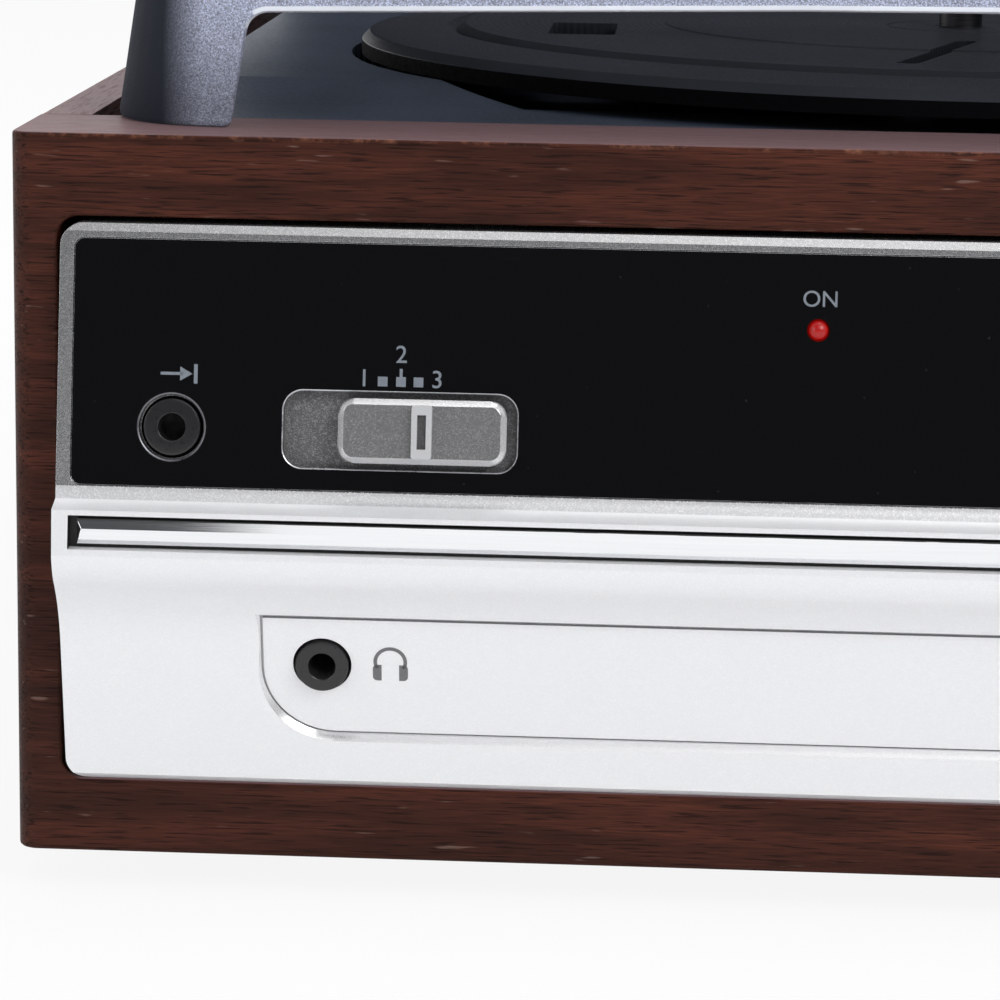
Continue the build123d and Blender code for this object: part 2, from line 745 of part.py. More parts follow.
def make_fascia():
    shell = along_cabinet(fascia_profile(), 0, CAB_W) & fascia_outline()
    hollow_x = FASCIA_EDGE + FASCIA_WALL
    shell -= along_cabinet(fascia_hollow(), hollow_x, CAB_W - hollow_x)
    w = CAB_W - 2 * PANEL_LEFT
    shell -= slab_on(panel_middle(), w, panel_height(), -PANEL_T, 5, 1.5)
    slot_x = FASCIA_EDGE + STRIP_SLOT_END
    shell -= block(
        slot_x, CAB_W - slot_x, -BULGE_PROUD - 1, -BULGE_PROUD + STRIP_SLOT_D,
        STRIP_Z - STRIP_SLOT_H / 2, STRIP_Z + STRIP_SLOT_H / 2,
    )
    shell -= inset_outline(0, 0, 3, INSET_WALL_LEAN)
    shell -= inset_groove()
    for pillar in fascia_posts():
        shell += pillar
    shell -= bar_on(on_panel(AUX_X, AUX_Z), -6, 1, JACK_R + FIT)
    shell -= bar_on(on_inset(PHONES_X, PHONES_Z), -6, 1, PHONES_R + FIT)
    shell -= slider_hole(on_panel(FUNCTION_X, FUNCTION_Z))
    shell += slider_pocket(on_panel(FUNCTION_X, FUNCTION_Z))
    shell -= slider_hole(on_inset(BAND_X, BAND_Z))
    shell += slider_pocket(on_inset(BAND_X, BAND_Z))
    shell -= bar_on(on_panel(POWER_LIGHT_X, LIGHT_Z), -6, 1, LIGHT_R + FIT)
    for x in (VOLUME_X, TUNING_X):
        shell -= bar_on(on_panel(x, KNOB_Z), -6, 1, KNOB_SHAFT_R + 0.4)
    ledge = 2 * LENS_LEDGE
    return shell - slab_on(on_panel(DIAL_X, DIAL_Z), DIAL_W - ledge, DIAL_H - ledge, -8, 1, 1.0)


def slider_hole(plane):
    return slab_on(plane, POCKET_W, POCKET_H, -6, 8, POCKET_R)


def slider_pocket(plane):
    """The shallow tray that a slide knob runs in, with a slot for the knob's stem."""
    under = -POCKET_DEEP - POCKET_FLOOR_T
    floor = slab_on(plane, POCKET_W, POCKET_H, under, -POCKET_DEEP, POCKET_R)
    slot_w = SLIDER_STEM_W + 2 * SLIDER_OFFSET + 2 * FIT
    return floor - slab_on(plane, slot_w, SLIDER_STEM_H + 2 * FIT, -6, 1)


def make_black_panel():
    w = CAB_W - 2 * PANEL_LEFT - 2 * FIT / 3
    h = panel_height() - 2 * FIT / 3
    panel = slab_on(panel_middle(), w, h, -PANEL_T, 0, 1.4)
    panel -= bar_on(on_panel(AUX_X, AUX_Z), -3, 1, AUX_HOLE_R)
    panel -= slider_hole(on_panel(FUNCTION_X, FUNCTION_Z))
    panel -= bar_on(on_panel(POWER_LIGHT_X, LIGHT_Z), -3, 1, LIGHT_R + 0.1)
    for x in (VOLUME_X, TUNING_X):
        panel -= bar_on(on_panel(x, KNOB_Z), -3, 1, KNOB_SHAFT_R + 0.5)
    return panel - slab_on(on_panel(DIAL_X, DIAL_Z), DIAL_W, DIAL_H, -3, 1, 1.0)


def make_chrome_strip():
    """A bright strip of two facets, one looking up and one down, with mitred ends."""
    back = -BULGE_PROUD + STRIP_SLOT_D
    front = back - STRIP_D
    half = STRIP_H / 2
    crest = (front, STRIP_Z + STRIP_CREST)
    section = Polygon((back, STRIP_Z + half), crest, (back, STRIP_Z - half), align=None)
    x0 = FASCIA_EDGE + STRIP_SLOT_END + STRIP_END_GAP
    strip = along_cabinet(section, x0, CAB_W - x0)
    cutter = Plane.XY * Polygon(
        (x0 - 4, front - 2), (x0 + STRIP_D + 2, front - 2), (x0, back), (x0 - 4, back), align=None
    )
    corner = Pos(0, 0, STRIP_Z - 5) * extrude(cutter, 10, dir=UP)
    return strip - corner - mirrored(corner)


def make_jack(plane, front, r):
    """A round socket with its body behind it: a straight bore for a 3.5 mm plug."""
    barrel = bar_on(plane, -JACK_DEPTH, front, r)
    body = slab_on(plane, JACK_BODY, JACK_BODY, -BOARD_DEPTH, -JACK_PAD)
    return barrel + body - bar_on(plane, -JACK_DEPTH, front + 1, JACK_BORE_R)


def make_slide_knob(plane, shift):
    """A low slide knob with sloping edges and a windowed rib, and the stem that moves the switch."""
    at = Plane(origin=plane.origin + Vector(shift, 0, 0), x_dir=EAST, z_dir=plane.z_dir)
    top = SLIDER_T - POCKET_DEEP
    knob = slab_on(at, SLIDER_W, SLIDER_H, -POCKET_DEEP + FIT / 3, top, SLIDER_R)
    face = knob.faces().sort_by(Axis(at.origin, at.z_dir))[-1]
    knob = chamfer(face.edges(), SLIDER_EDGE)
    crown = top + SLIDER_RIB_T
    knob += slab_on(at, SLIDER_RIB_W, SLIDER_RIB_H, top - SLIDER_EDGE, crown, 0.4)
    knob -= slab_on(at, SLIDER_WINDOW_W, SLIDER_WINDOW_H, crown - SLIDER_WINDOW_DEEP, crown + 1)
    return knob + slab_on(at, SLIDER_STEM_W, SLIDER_STEM_H, -SLIDER_STEM_L, -POCKET_DEEP + 1)


def make_switch(plane, board):
    """The slide switch behind a pocket: a metal can with a slot for the stem."""
    can = slab_on(plane, SWITCH_W, SWITCH_H, -board, -POCKET_DEEP - POCKET_FLOOR_T)
    slot_w = SLIDER_STEM_W + 2 * SLIDER_OFFSET + 2 * FIT
    return can - slab_on(plane, slot_w, SLIDER_STEM_H + 2 * FIT, -SLIDER_STEM_L - 1, 0)


def make_light():
    """A round-ended lamp on its legs."""
    plane = on_panel(POWER_LIGHT_X, LIGHT_Z)
    centre = LIGHT_PROUD - LIGHT_R
    lamp = bar_on(plane, -LIGHT_LENGTH, centre, LIGHT_R)
    lamp += plane.location * Pos(0, 0, centre) * Sphere(LIGHT_R)
    return lamp + bar_on(plane, -BOARD_DEPTH, -LIGHT_LENGTH, LIGHT_R / 2)


# ---- dial ----
def make_dial_lens():
    w = DIAL_W - 2 * FIT / 3
    return slab_on(on_panel(DIAL_X, DIAL_Z), w, DIAL_H - 2 * FIT / 3, -LENS_T, 0, 0.9)


def pointer_foot():
    return on_panel(DIAL_X, DIAL_Z - DIAL_H / 2 + POINTER_FOOT_UP)


def make_dial_scale():
    """The printed scale behind the lens, with a long slot that the pointer runs in."""
    back = -SCALE_DEPTH - SCALE_T
    w = DIAL_W + 2 * SCALE_MARGIN_W
    h = DIAL_H + 2 * SCALE_MARGIN_H
    scale = slab_on(on_panel(DIAL_X, DIAL_Z), w, h, back, -SCALE_DEPTH)
    return scale - slab_on(pointer_foot(), POINTER_TRAVEL + CARRIER_W, POINTER_SLOT_W, back - PAST, 0)


def make_dial_pointer():
    """A needle in front of the scale, on a carrier that rides behind it through a long slot."""
    plane = on_panel(DIAL_X, DIAL_Z)
    needle = slab_on(plane, POINTER_W, DIAL_H - 4, -POINTER_DEPTH - POINTER_T, -POINTER_DEPTH)
    back = -SCALE_DEPTH - SCALE_T - FIT
    neck = slab_on(pointer_foot(), POINTER_W, POINTER_NECK, back, -POINTER_DEPTH)
    return needle + neck + slab_on(pointer_foot(), CARRIER_W, CARRIER_H, back - CARRIER_T, back)


def make_knob(x):
    """A turned knob with a soft front edge, a pointer groove and its own shaft."""
    plane = on_panel(x, KNOB_Z)
    knob = bar_on(Plane.XY, 0, KNOB_H, KNOB_R)
    knob = fillet(knob.edges().group_by(Axis.Z)[-1], KNOB_EDGE_R)
    knob -= Pos(0, KNOB_R * 0.7, KNOB_H) * Box(KNOB_MARK_W, KNOB_R * 0.5, 2 * KNOB_MARK_DEEP)
    knob = plane.location * Pos(0, 0, KNOB_GAP) * knob
    return knob + bar_on(plane, -KNOB_STEM_END, KNOB_GAP + PAST, KNOB_SHAFT_R)


def make_volume_control():
    plane = on_panel(VOLUME_X, KNOB_Z)
    pot = bar_on(plane, -BOARD_DEPTH, -BOARD_DEPTH + POT_T, POT_R)
    return pot - bar_on(plane, -BOARD_DEPTH + POT_FLOOR, 0, KNOB_SHAFT_R + RUNNING)


def make_tuning_bush():
    """The bearing that the tuning shaft turns in, fixed to the control board."""
    plane = on_panel(TUNING_X, KNOB_Z)
    bush = bar_on(plane, -BOARD_DEPTH, -BOARD_DEPTH + BUSH_FLANGE_T, BUSH_FLANGE_R)
    bush += bar_on(plane, -BOARD_DEPTH, -BOARD_DEPTH + POT_T, BUSH_R)
    return bush - bar_on(plane, -BOARD_DEPTH + POT_FLOOR / 2, 0, KNOB_SHAFT_R + RUNNING)


def make_tuning_drum():
    plane = on_panel(DRUM_X, DRUM_Z)
    back = -DRUM_DEPTH - DRUM_T
    middle = -DRUM_DEPTH - DRUM_T / 2
    half = DRUM_GROOVE_W / 2
    drum = bar_on(plane, back, -DRUM_DEPTH, DRUM_R)
    rim = bar_on(plane, middle - half, middle + half, DRUM_R + PAST)
    drum -= rim - bar_on(plane, back, -DRUM_DEPTH, DRUM_R - DRUM_GROOVE_DEEP)
    away = DRUM_R * 0.58
    for turn in (0, 120, 240):
        hole = Pos(away * cos(radians(turn)), away * sin(radians(turn)), back - PAST)
        drum -= plane.location * hole * Cylinder(DRUM_HOLE_R, DRUM_T + 2 * PAST, align=BASE)
    shaft_end = -BOARD_DEPTH - BOARD_T - DRUM_SHAFT_END
    return drum + bar_on(plane, shaft_end, -DRUM_DEPTH - PAST, KNOB_SHAFT_R)


def make_tuning_capacitor():
    plane = on_panel(DRUM_X, DRUM_Z)
    back = -BOARD_DEPTH - BOARD_T
    can = slab_on(plane, CAPACITOR_W, CAPACITOR_W, back - CAPACITOR_D, back)
    return can - bar_on(plane, back - SHAFT_SEAT, 0, KNOB_SHAFT_R + RUNNING)


def make_control_board():
    """The upright board behind the black panel that carries its switches and controls."""
    plane = panel_middle()
    w = CAB_W - 2 * (FASCIA_EDGE + FASCIA_WALL + PAST)
    board = slab_on(plane, w, panel_height(), -BOARD_DEPTH - BOARD_T, -BOARD_DEPTH)
    return board - bar_on(on_panel(DRUM_X, DRUM_Z), -BOARD_DEPTH - BOARD_T - PAST, 0, KNOB_SHAFT_R + 1)


# ---- record deck ----
def deck_section(inner):
    """The deck's front-to-back section, or the hollow under it."""
    t = DECK_WALL if inner else 0.0
    drop = t * 0.1
    bottom = DECK_UNDER - (PAST if inner else 0)
    return Polygon(
        (FRONT_T + FIT + t, bottom),
        (FRONT_T + FIT + t, DECK_LIP_Z - t),
        (DECK_LIP_BACK + drop, DECK_LIP_Z - t),
        (DECK_SLOPE_BACK + drop, DECK_TOP - t),
        (DECK_BACK - t, DECK_TOP - t),
        (DECK_BACK - t, bottom),
        align=None,
    )


def well(r, front, z0, z1):
    """The round space that the platter turns in, cut straight at the front."""
    disc = post(PLATTER_X, PLATTER_Y, z0, z1, r)
    return disc & block(0, CAB_W, front, CAB_D, z0 - 1, z1 + 1)


def deck_bosses():
    """Raised seats under the deck's top for the arm base, the selector and the adapter."""
    z0 = DECK_UNDER
    w = STOP_BOSS_W / 2
    d = STOP_BOSS_L / 2
    bosses = [post(SPEED_X, SPEED_Y, z0, DECK_TOP, SPEED_BOSS_R)]
    bosses.append(block(STOP_X - w, STOP_X + w, STOP_Y - d, STOP_Y + d, z0, DECK_TOP))
    bosses.append(post(ADAPTER_X, ADAPTER_Y, z0, DECK_TOP, ADAPTER_R + ADAPTER_BOSS_WALL))
    bosses.append(post(ARM_X, ARM_Y, z0, DECK_TOP, ARM_TOWER_R))
    bosses.append(post(lifter_x(), lifter_y(), z0, DECK_TOP, LIFTER_POST_R + BOSS_WALL))
    bosses.append(post(ARM_X, REST_Y, z0, DECK_TOP, REST_R))
    return bosses


def make_deck():
    outer = along_cabinet(deck_section(False), DECK_EDGE, CAB_W - DECK_EDGE)
    outer = fillet(outer.edges().filter_by(Axis.Z).group_by(Axis.Y)[-1], DECK_CORNER_R)
    inner = along_cabinet(deck_section(True), DECK_EDGE + DECK_WALL, CAB_W - DECK_EDGE - DECK_WALL)
    body = outer - fillet(inner.edges().filter_by(Axis.Z).group_by(Axis.Y)[-1], DECK_CORNER_R - DECK_WALL)
    rail_x = SIDE_INNER + FIT
    rail = block(rail_x, CAB_W - rail_x, FRONT_T + FIT, CAB_D - BACK_T - FIT, DECK_UNDER, DECK_CHANNEL_Z)
    inside = block(
        DECK_EDGE + DECK_WALL, CAB_W - DECK_EDGE - DECK_WALL,
        FRONT_T + FIT + DECK_WALL, DECK_BACK - DECK_WALL, DECK_UNDER - PAST, DECK_CHANNEL_Z + PAST,
    )
    body += rail - inside
    cup = well(WELL_R + DECK_WALL, DECK_LIP_BACK - DECK_WALL, DECK_UNDER, DECK_TOP)
    body += cup & outer
    for boss in deck_bosses():
        body += boss
    under = DECK_UNDER - PAST
    above = DECK_TOP + PAST
    body -= well(WELL_R, DECK_LIP_BACK, WELL_FLOOR, above)
    body -= post(PLATTER_X, PLATTER_Y, under, WELL_FLOOR + PAST, WELL_HOLE_R)
    body -= post(PULLEY_X, PULLEY_Y, under, WELL_FLOOR + PAST, PULLEY_R + PULLEY_ROOM)
    body -= post(ADAPTER_X, ADAPTER_Y, DECK_TOP - ADAPTER_SEAT, above, ADAPTER_R + FIT)
    body -= post(lifter_x(), lifter_y(), under, above, LIFTER_POST_R + FIT)
    body -= post(SPEED_X, SPEED_Y, under, above, SPEED_STEM_R + RUNNING)
    half_w = STOP_STEM_W / 2 + FIT
    half_l = STOP_STEM_L / 2 + FIT
    return body - block(
        STOP_X - half_w, STOP_X + half_w, STOP_Y - half_l, STOP_Y + half_l + STOP_TRAVEL, under, above
    )


def make_platter():
    """A moulded platter: sloping rim, raised crest, groove, label disc, belt ring and hub."""
    under = PLATTER_RIM_TOP - PLATTER_T
    crest = PLATTER_RIM_TOP + PLATTER_CREST_RISE
    groove_floor = crest - GROOVE_DEEP
    belt_inner = BELT_RING_R - PLATTER_WALL
    skirt_inner = PLATTER_R - PLATTER_WALL
    section = Polygon(
        (BEARING_R, HUB_BOTTOM),
        (HUB_R, HUB_BOTTOM),
        (HUB_R, under),
        (belt_inner, under),
        (belt_inner, BELT_RING_BOTTOM),
        (BELT_RING_R, BELT_RING_BOTTOM),
        (BELT_RING_R, under),
        (skirt_inner, under),
        (skirt_inner, PLATTER_SKIRT_BOTTOM),
        (PLATTER_R, PLATTER_SKIRT_BOTTOM),
        (PLATTER_R, PLATTER_RIM_TOP - PLATTER_RIM_EDGE),
        (PLATTER_R - PLATTER_RIM_EDGE, PLATTER_RIM_TOP),
        (PLATTER_CREST_R, crest),
        (GROOVE_R, crest),
        (GROOVE_R - GROOVE_W / 3, groove_floor),
        (GROOVE_R - GROOVE_W / 2, groove_floor),
        (GROOVE_R - GROOVE_W, PLATTER_TOP),
        (LABEL_R + LABEL_RISE, PLATTER_TOP),
        (LABEL_R, LABEL_TOP),
        (HUB_GROOVE_R + HUB_GROOVE_W, LABEL_TOP),
        (HUB_GROOVE_R, LABEL_TOP - HUB_GROOVE_W),
        (HUB_GROOVE_R - HUB_GROOVE_W, LABEL_TOP),
        (BEARING_R, LABEL_TOP),
        align=None,
    )
    disc = Pos(PLATTER_X, PLATTER_Y, 0) * revolve(Plane.XZ * section, Axis.Z)
    window = Pos(PLATTER_X - WINDOW_OUT, PLATTER_Y - WINDOW_DOWN, WELL_FLOOR)
    disc -= window * extrude(RectangleRounded(WINDOW_W, WINDOW_L, WINDOW_R), 20)
    slot = Pos(PLATTER_X - SLOT_OUT, PLATTER_Y - SLOT_DOWN, CAB_H + SLOT_FLOOR) * Rot(0, 0, -SLOT_LEAN)
    return disc - slot * extrude(SlotOverall(SLOT_L, SLOT_W, 90), 20)


def make_spindle():
    """The thin part takes a record's hole; the thicker foot carries the platter."""
    pin = post(PLATTER_X, PLATTER_Y, LABEL_TOP, SPINDLE_TOP, SPINDLE_R)
    pin = fillet(pin.edges().group_by(Axis.Z)[-1], SPINDLE_R * 0.7)
    return pin + post(PLATTER_X, PLATTER_Y, DECK_UNDER - SPINDLE_SEAT, LABEL_TOP, SPINDLE_FOOT_R)


def make_spindle_bearing():
    """The flanged bush under the well's floor that holds the spindle."""
    bush = post(PLATTER_X, PLATTER_Y, DECK_UNDER - BUSHING_FLANGE_T, DECK_UNDER, BUSHING_FLANGE_R)
    bush += post(PLATTER_X, PLATTER_Y, DECK_UNDER - BUSHING_L, WELL_FLOOR, BUSHING_R)
    seat = DECK_UNDER - SPINDLE_SEAT
    return bush - post(PLATTER_X, PLATTER_Y, seat, WELL_FLOOR + PAST, SPINDLE_FOOT_R)


def make_thrust_washer():
    ring = post(PLATTER_X, PLATTER_Y, WELL_FLOOR, HUB_BOTTOM, WASHER_R)
    return ring - post(PLATTER_X, PLATTER_Y, WELL_FLOOR - PAST, HUB_BOTTOM + PAST, BEARING_R)


def make_belt():
    """A flat belt round the platter's belt ring and the motor pulley."""
    gap = BELT_GAP
    z0 = (PULLEY_BOTTOM + PULLEY_TOP - BELT_H) / 2
    loops = []
    for r in (gap + BELT_T, gap):
        ring = Pos(PLATTER_X, PLATTER_Y) * CenterArc((0, 0), BELT_RING_R + r, 0, 360)
        wheel = Pos(PULLEY_X, PULLEY_Y) * CenterArc((0, 0), PULLEY_R + r, 0, 360)
        loops.append(make_hull([*ring.edges(), *wheel.edges()]))
    return Pos(0, 0, z0) * extrude(loops[0] - loops[1], BELT_H)


def make_motor():
    top = DECK_UNDER
    cap = top - MOTOR_CAP_T
    half = MOTOR_EAR_W / 2
    can = post(PULLEY_X, PULLEY_Y, top - MOTOR_H, cap, MOTOR_R)
    can += post(PULLEY_X, PULLEY_Y, cap, top, MOTOR_CAP_R)
    can += block(
        PULLEY_X - MOTOR_EAR_L, PULLEY_X + MOTOR_EAR_L, PULLEY_Y - half, PULLEY_Y + half, cap, top
    )
    return can - post(PULLEY_X, PULLEY_Y, top - MOTOR_SHAFT_SEAT, top + PAST, MOTOR_SHAFT_R + RUNNING)


def make_motor_pulley():
    wheel = post(PULLEY_X, PULLEY_Y, PULLEY_BOTTOM, PULLEY_TOP, PULLEY_R)
    rim = post(PULLEY_X, PULLEY_Y, PULLEY_BOTTOM, PULLEY_BOTTOM + PULLEY_RIM_T, PULLEY_R + PULLEY_RIM)
    shaft_end = DECK_UNDER - MOTOR_SHAFT_SEAT + PAST
    return wheel + rim + post(PULLEY_X, PULLEY_Y, shaft_end, PULLEY_TOP, MOTOR_SHAFT_R)


def make_adapter():
    z0 = DECK_TOP - ADAPTER_SEAT
    top = z0 + ADAPTER_H
    ring = post(ADAPTER_X, ADAPTER_Y, z0, top, ADAPTER_R)
    ring = chamfer(ring.edges().group_by(Axis.Z)[-1], ADAPTER_EDGE)
    ring -= post(ADAPTER_X, ADAPTER_Y, z0 - PAST, top + PAST, SPINDLE_R + 2 * RUNNING)
    dish = post(ADAPTER_X, ADAPTER_Y, top - ADAPTER_DISH, top + PAST, ADAPTER_R - ADAPTER_RIM)
    return ring - (dish - post(ADAPTER_X, ADAPTER_Y, z0, top + PAST, ADAPTER_HUB_R))


# ---- tonearm ----
def lifter_x():
    return ARM_X + LIFTER_RADIUS * sin(radians(LIFTER_TURN))


def lifter_y():
    return ARM_Y - LIFTER_RADIUS * cos(radians(LIFTER_TURN))


def make_tonearm_base():
    """A low plinth with a tower for the yoke, a guide for the lifter and cheeks for the lever."""
    top = DECK_TOP + ARM_BASE_T
    axle_z = top + CUE_AXLE_UP
    d = ARM_BASE_BACK - ARM_BASE_FRONT
    middle = (ARM_BASE_FRONT + ARM_BASE_BACK) / 2
    sheet = RectangleRounded(ARM_BASE_W, d, ARM_BASE_R)
    plate = Pos(ARM_X + ARM_BASE_SHIFT, middle, DECK_TOP) * extrude(sheet, ARM_BASE_T)
    plate = fillet(plate.edges().group_by(Axis.Z)[-1], ARM_BASE_EDGE)
    plate += post(ARM_X, ARM_Y, top - PAST, ARM_TOWER_TOP, ARM_TOWER_R)
    plate -= post(ARM_X, ARM_Y, DECK_TOP, ARM_TOWER_TOP + PAST, YOKE_SHAFT_R + RUNNING)
    plate -= post(lifter_x(), lifter_y(), DECK_TOP - PAST, top + PAST, LIFTER_POST_R + RUNNING)
    half = CUE_CHEEK_L / 2
    for x in (CUE_X - CUE_CHEEK_OUT - CUE_CHEEK_T, CUE_X + CUE_CHEEK_OUT):
        plate += block(x, x + CUE_CHEEK_T, CUE_Y - half, CUE_Y + half, top - PAST, top + CUE_CHEEK_H)
    reach = CUE_AXLE_REACH + PAST
    return plate - bar_x(CUE_Y, axle_z, CUE_X - reach, CUE_X + reach, CUE_AXLE_R + RUNNING)


def make_tonearm_yoke():
    """The turntable of the arm: a shaft, a disc and two ears that hold the lift pin."""
    floor = ARM_TOWER_TOP + FIT / 3
    yoke = post(ARM_X, ARM_Y, DECK_TOP + PAST, floor + PAST, YOKE_SHAFT_R)
    yoke += post(ARM_X, ARM_Y, floor, floor + YOKE_T, YOKE_R)
    for side in (-1, 1):
        x = ARM_X + side * (YOKE_INNER + YOKE_EAR_T) / 2
        ear = block(
            x - YOKE_EAR_T / 2, x + YOKE_EAR_T / 2,
            ARM_Y - YOKE_EAR_W / 2, ARM_Y + YOKE_EAR_W / 2, floor + YOKE_T / 2, ARM_Z,
        )
        yoke += ear + bar_x(ARM_Y, ARM_Z, x - YOKE_EAR_T / 2, x + YOKE_EAR_T / 2, YOKE_EAR_W / 2)
    reach = YOKE_INNER / 2 + YOKE_EAR_T + PAST
    return yoke - bar_x(ARM_Y, ARM_Z, ARM_X - reach, ARM_X + reach, PIVOT_R)


def make_lift_pin():
    reach = YOKE_INNER / 2 + YOKE_EAR_T
    return bar_x(ARM_Y, ARM_Z, ARM_X - reach, ARM_X + reach, PIVOT_R)


def headshell_place():
    """Where the headshell starts and which way it points."""
    return Pos(ARM_X, ARM_Y - ARM_STRAIGHT, ARM_Z) * Rot(0, 0, -HEADSHELL_ANGLE)


def make_tonearm():
    """A straight moulded arm, a hub round the lift pin, and an angled headshell."""
    w = ARM_HUB_W / 2
    h = ARM_HUB_H / 2
    hub_back = ARM_Y + ARM_HUB_BACK
    tube = bar_y(ARM_X, ARM_Z, ARM_Y - ARM_STRAIGHT, ARM_Y - ARM_HUB_FRONT / 3, ARM_TUBE_R)
    hub = block(ARM_X - w, ARM_X + w, ARM_Y - ARM_HUB_FRONT, hub_back, ARM_Z - h, ARM_Z + h)
    hub = fillet(hub.edges().filter_by(Axis.Z), ARM_HUB_R)
    tail = bar_y(ARM_X, ARM_Z, hub_back - PAST, ARM_Y + ARM_TAIL_END, ARM_TAIL_R)
    shell = Pos(0, HEADSHELL_BACK - HEADSHELL_L / 2, 0) * Box(HEADSHELL_W, HEADSHELL_L, HEADSHELL_T)
    shell = fillet(shell.edges().filter_by(Axis.Z).group_by(Axis.Y)[0], HEADSHELL_R)
    lug_y = -HEADSHELL_L + 2 * LUG_W
    lug = Pos(HEADSHELL_W / 2 + LUG_L / 2 - PAST / 2, lug_y, 0) * Box(LUG_L, LUG_W, LUG_T)
    arm = tube + hub + tail + headshell_place() * (shell + lug)
    reach = ARM_HUB_W
    return arm - bar_x(ARM_Y, ARM_Z, ARM_X - reach, ARM_X + reach, PIVOT_R + RUNNING)


def cartridge_y():
    """The middle of the cartridge along the headshell."""
    return HEADSHELL_BACK - HEADSHELL_L + CARTRIDGE_SET_BACK + CARTRIDGE_L / 2


def make_cartridge():
    z = -HEADSHELL_T / 2 - CARTRIDGE_H / 2
    body = Pos(0, cartridge_y(), z) * Box(CARTRIDGE_W, CARTRIDGE_L, CARTRIDGE_H)
    body = chamfer(body.edges().filter_by(Axis.X).group_by(Axis.Z)[0], CARTRIDGE_EDGE)
    return headshell_place() * body


def make_stylus():
    """The needle holder that clips under the cartridge, with its tip at record height."""
    y = cartridge_y()
    z = -HEADSHELL_T / 2 - CARTRIDGE_H
    holder = Pos(0, y, z - STYLUS_H / 4) * Box(STYLUS_W, STYLUS_L, STYLUS_H / 2)
    tip = Pos(0, y - STYLUS_TIP_Y, z - STYLUS_H)
    tip *= Cone(STYLUS_TIP_R, STYLUS_ROOT_R, STYLUS_H / 2 + STYLUS_ROOT_L, align=BASE)
    return headshell_place() * (holder + tip)


def clip_z():
    """The height of the arm clip's pin."""
    return ARM_Z + ARM_TUBE_R + CLIP_UP


def make_arm_rest():
    """A pillar with a fork that the arm lies in, and an ear for the clip."""
    fork_z = ARM_Z - ARM_TUBE_R - FIT
    pin_x = ARM_X + CLIP_OUT
    right = ARM_X + REST_FORK_RIGHT
    y0 = REST_Y - REST_DEEP / 2
    y1 = REST_Y + REST_DEEP / 2
    ear_y = REST_Y + CLIP_W / 2 + FIT / 3
    ear_back = REST_Y + CLIP_W
    rest = post(ARM_X, REST_Y, DECK_TOP, DECK_TOP + REST_FOOT_T, REST_R)
    rest += post(ARM_X, REST_Y, DECK_TOP, fork_z, REST_PILLAR_R)
    rest += block(ARM_X - REST_FORK_LEFT, right, y0, y1, fork_z - REST_FORK_T, fork_z)
    rest += block(pin_x - REST_WALL, right, y0, y1, fork_z - PAST, clip_z() - PAST)
    rest += bar_y(pin_x, clip_z(), ear_y, ear_back, REST_EAR_R)
    rest += block(pin_x - REST_WALL, pin_x + REST_WALL, ear_y, ear_back, fork_z, clip_z())
    swing = CLIP_HUB_R + 0.4
    rest -= block(ARM_X, ARM_X + 20, y0 - PAST, ear_y, clip_z() - swing, clip_z() + 9)
    return rest - bar_y(pin_x, clip_z(), y0 - 3, y1 + 3, CLIP_PIN_R + RUNNING)


def make_arm_clip():
    """The swinging clip that holds the arm in its rest, shown open."""
    x = ARM_X + CLIP_OUT
    z = clip_z()
    top = z + CLIP_REACH
    y0 = REST_Y - CLIP_W / 2
    y1 = REST_Y + CLIP_W / 2
    shank = x + 0.4
    clip = bar_y(x, z, y0, y1, CLIP_HUB_R)
    clip += block(shank, shank + CLIP_T, y0, y1, z, top)
    clip += block(x - CLIP_HOOK, x + 1, y0, y1, top - CLIP_T, top)
    return clip + bar_y(x, z, REST_Y, REST_Y + CLIP_W, CLIP_PIN_R)


def make_cue_lifter():
    """The curved rail under the arm, on its post."""
    z0 = LIFTER_TOP - LIFTER_T
    half = LIFTER_W / 2
    inner = post(ARM_X, ARM_Y, z0 - PAST, LIFTER_TOP + PAST, LIFTER_RADIUS - half)
    ring = post(ARM_X, ARM_Y, z0, LIFTER_TOP, LIFTER_RADIUS + half) - inner
    reach = 2 * LIFTER_RADIUS
    wedge = Polygon((0, 0), (-reach, -reach), (reach / 4, -reach), align=None)
    rail = ring & (Pos(ARM_X, ARM_Y, z0 - PAST) * extrude(wedge, LIFTER_T + 3, dir=UP))
    foot = DECK_TOP - LIFTER_POST_L
    return rail + post(lifter_x(), lifter_y(), foot, LIFTER_TOP - LIFTER_POST_SINK, LIFTER_POST_R)


def make_cue_lever():
    """A hub on its axle between the cheeks, with an arm and a round grip."""
    z = DECK_TOP + ARM_BASE_T + CUE_AXLE_UP
    half = CUE_HUB_W / 2
    thick = CUE_ARM_W / 2
    end = CUE_Y - CUE_ARM_L
    lever = bar_x(CUE_Y, z, CUE_X - half, CUE_X + half, CUE_HUB_R)
    lever += bar_x(CUE_Y, z, CUE_X - CUE_AXLE_REACH, CUE_X + CUE_AXLE_REACH, CUE_AXLE_R)
    lever += block(CUE_X - thick, CUE_X + thick, end, CUE_Y, z - thick, z + thick)
    return lever + bar_x(end, z, CUE_X - half, CUE_X + CUE_GRIP_OUT, CUE_GRIP_R)


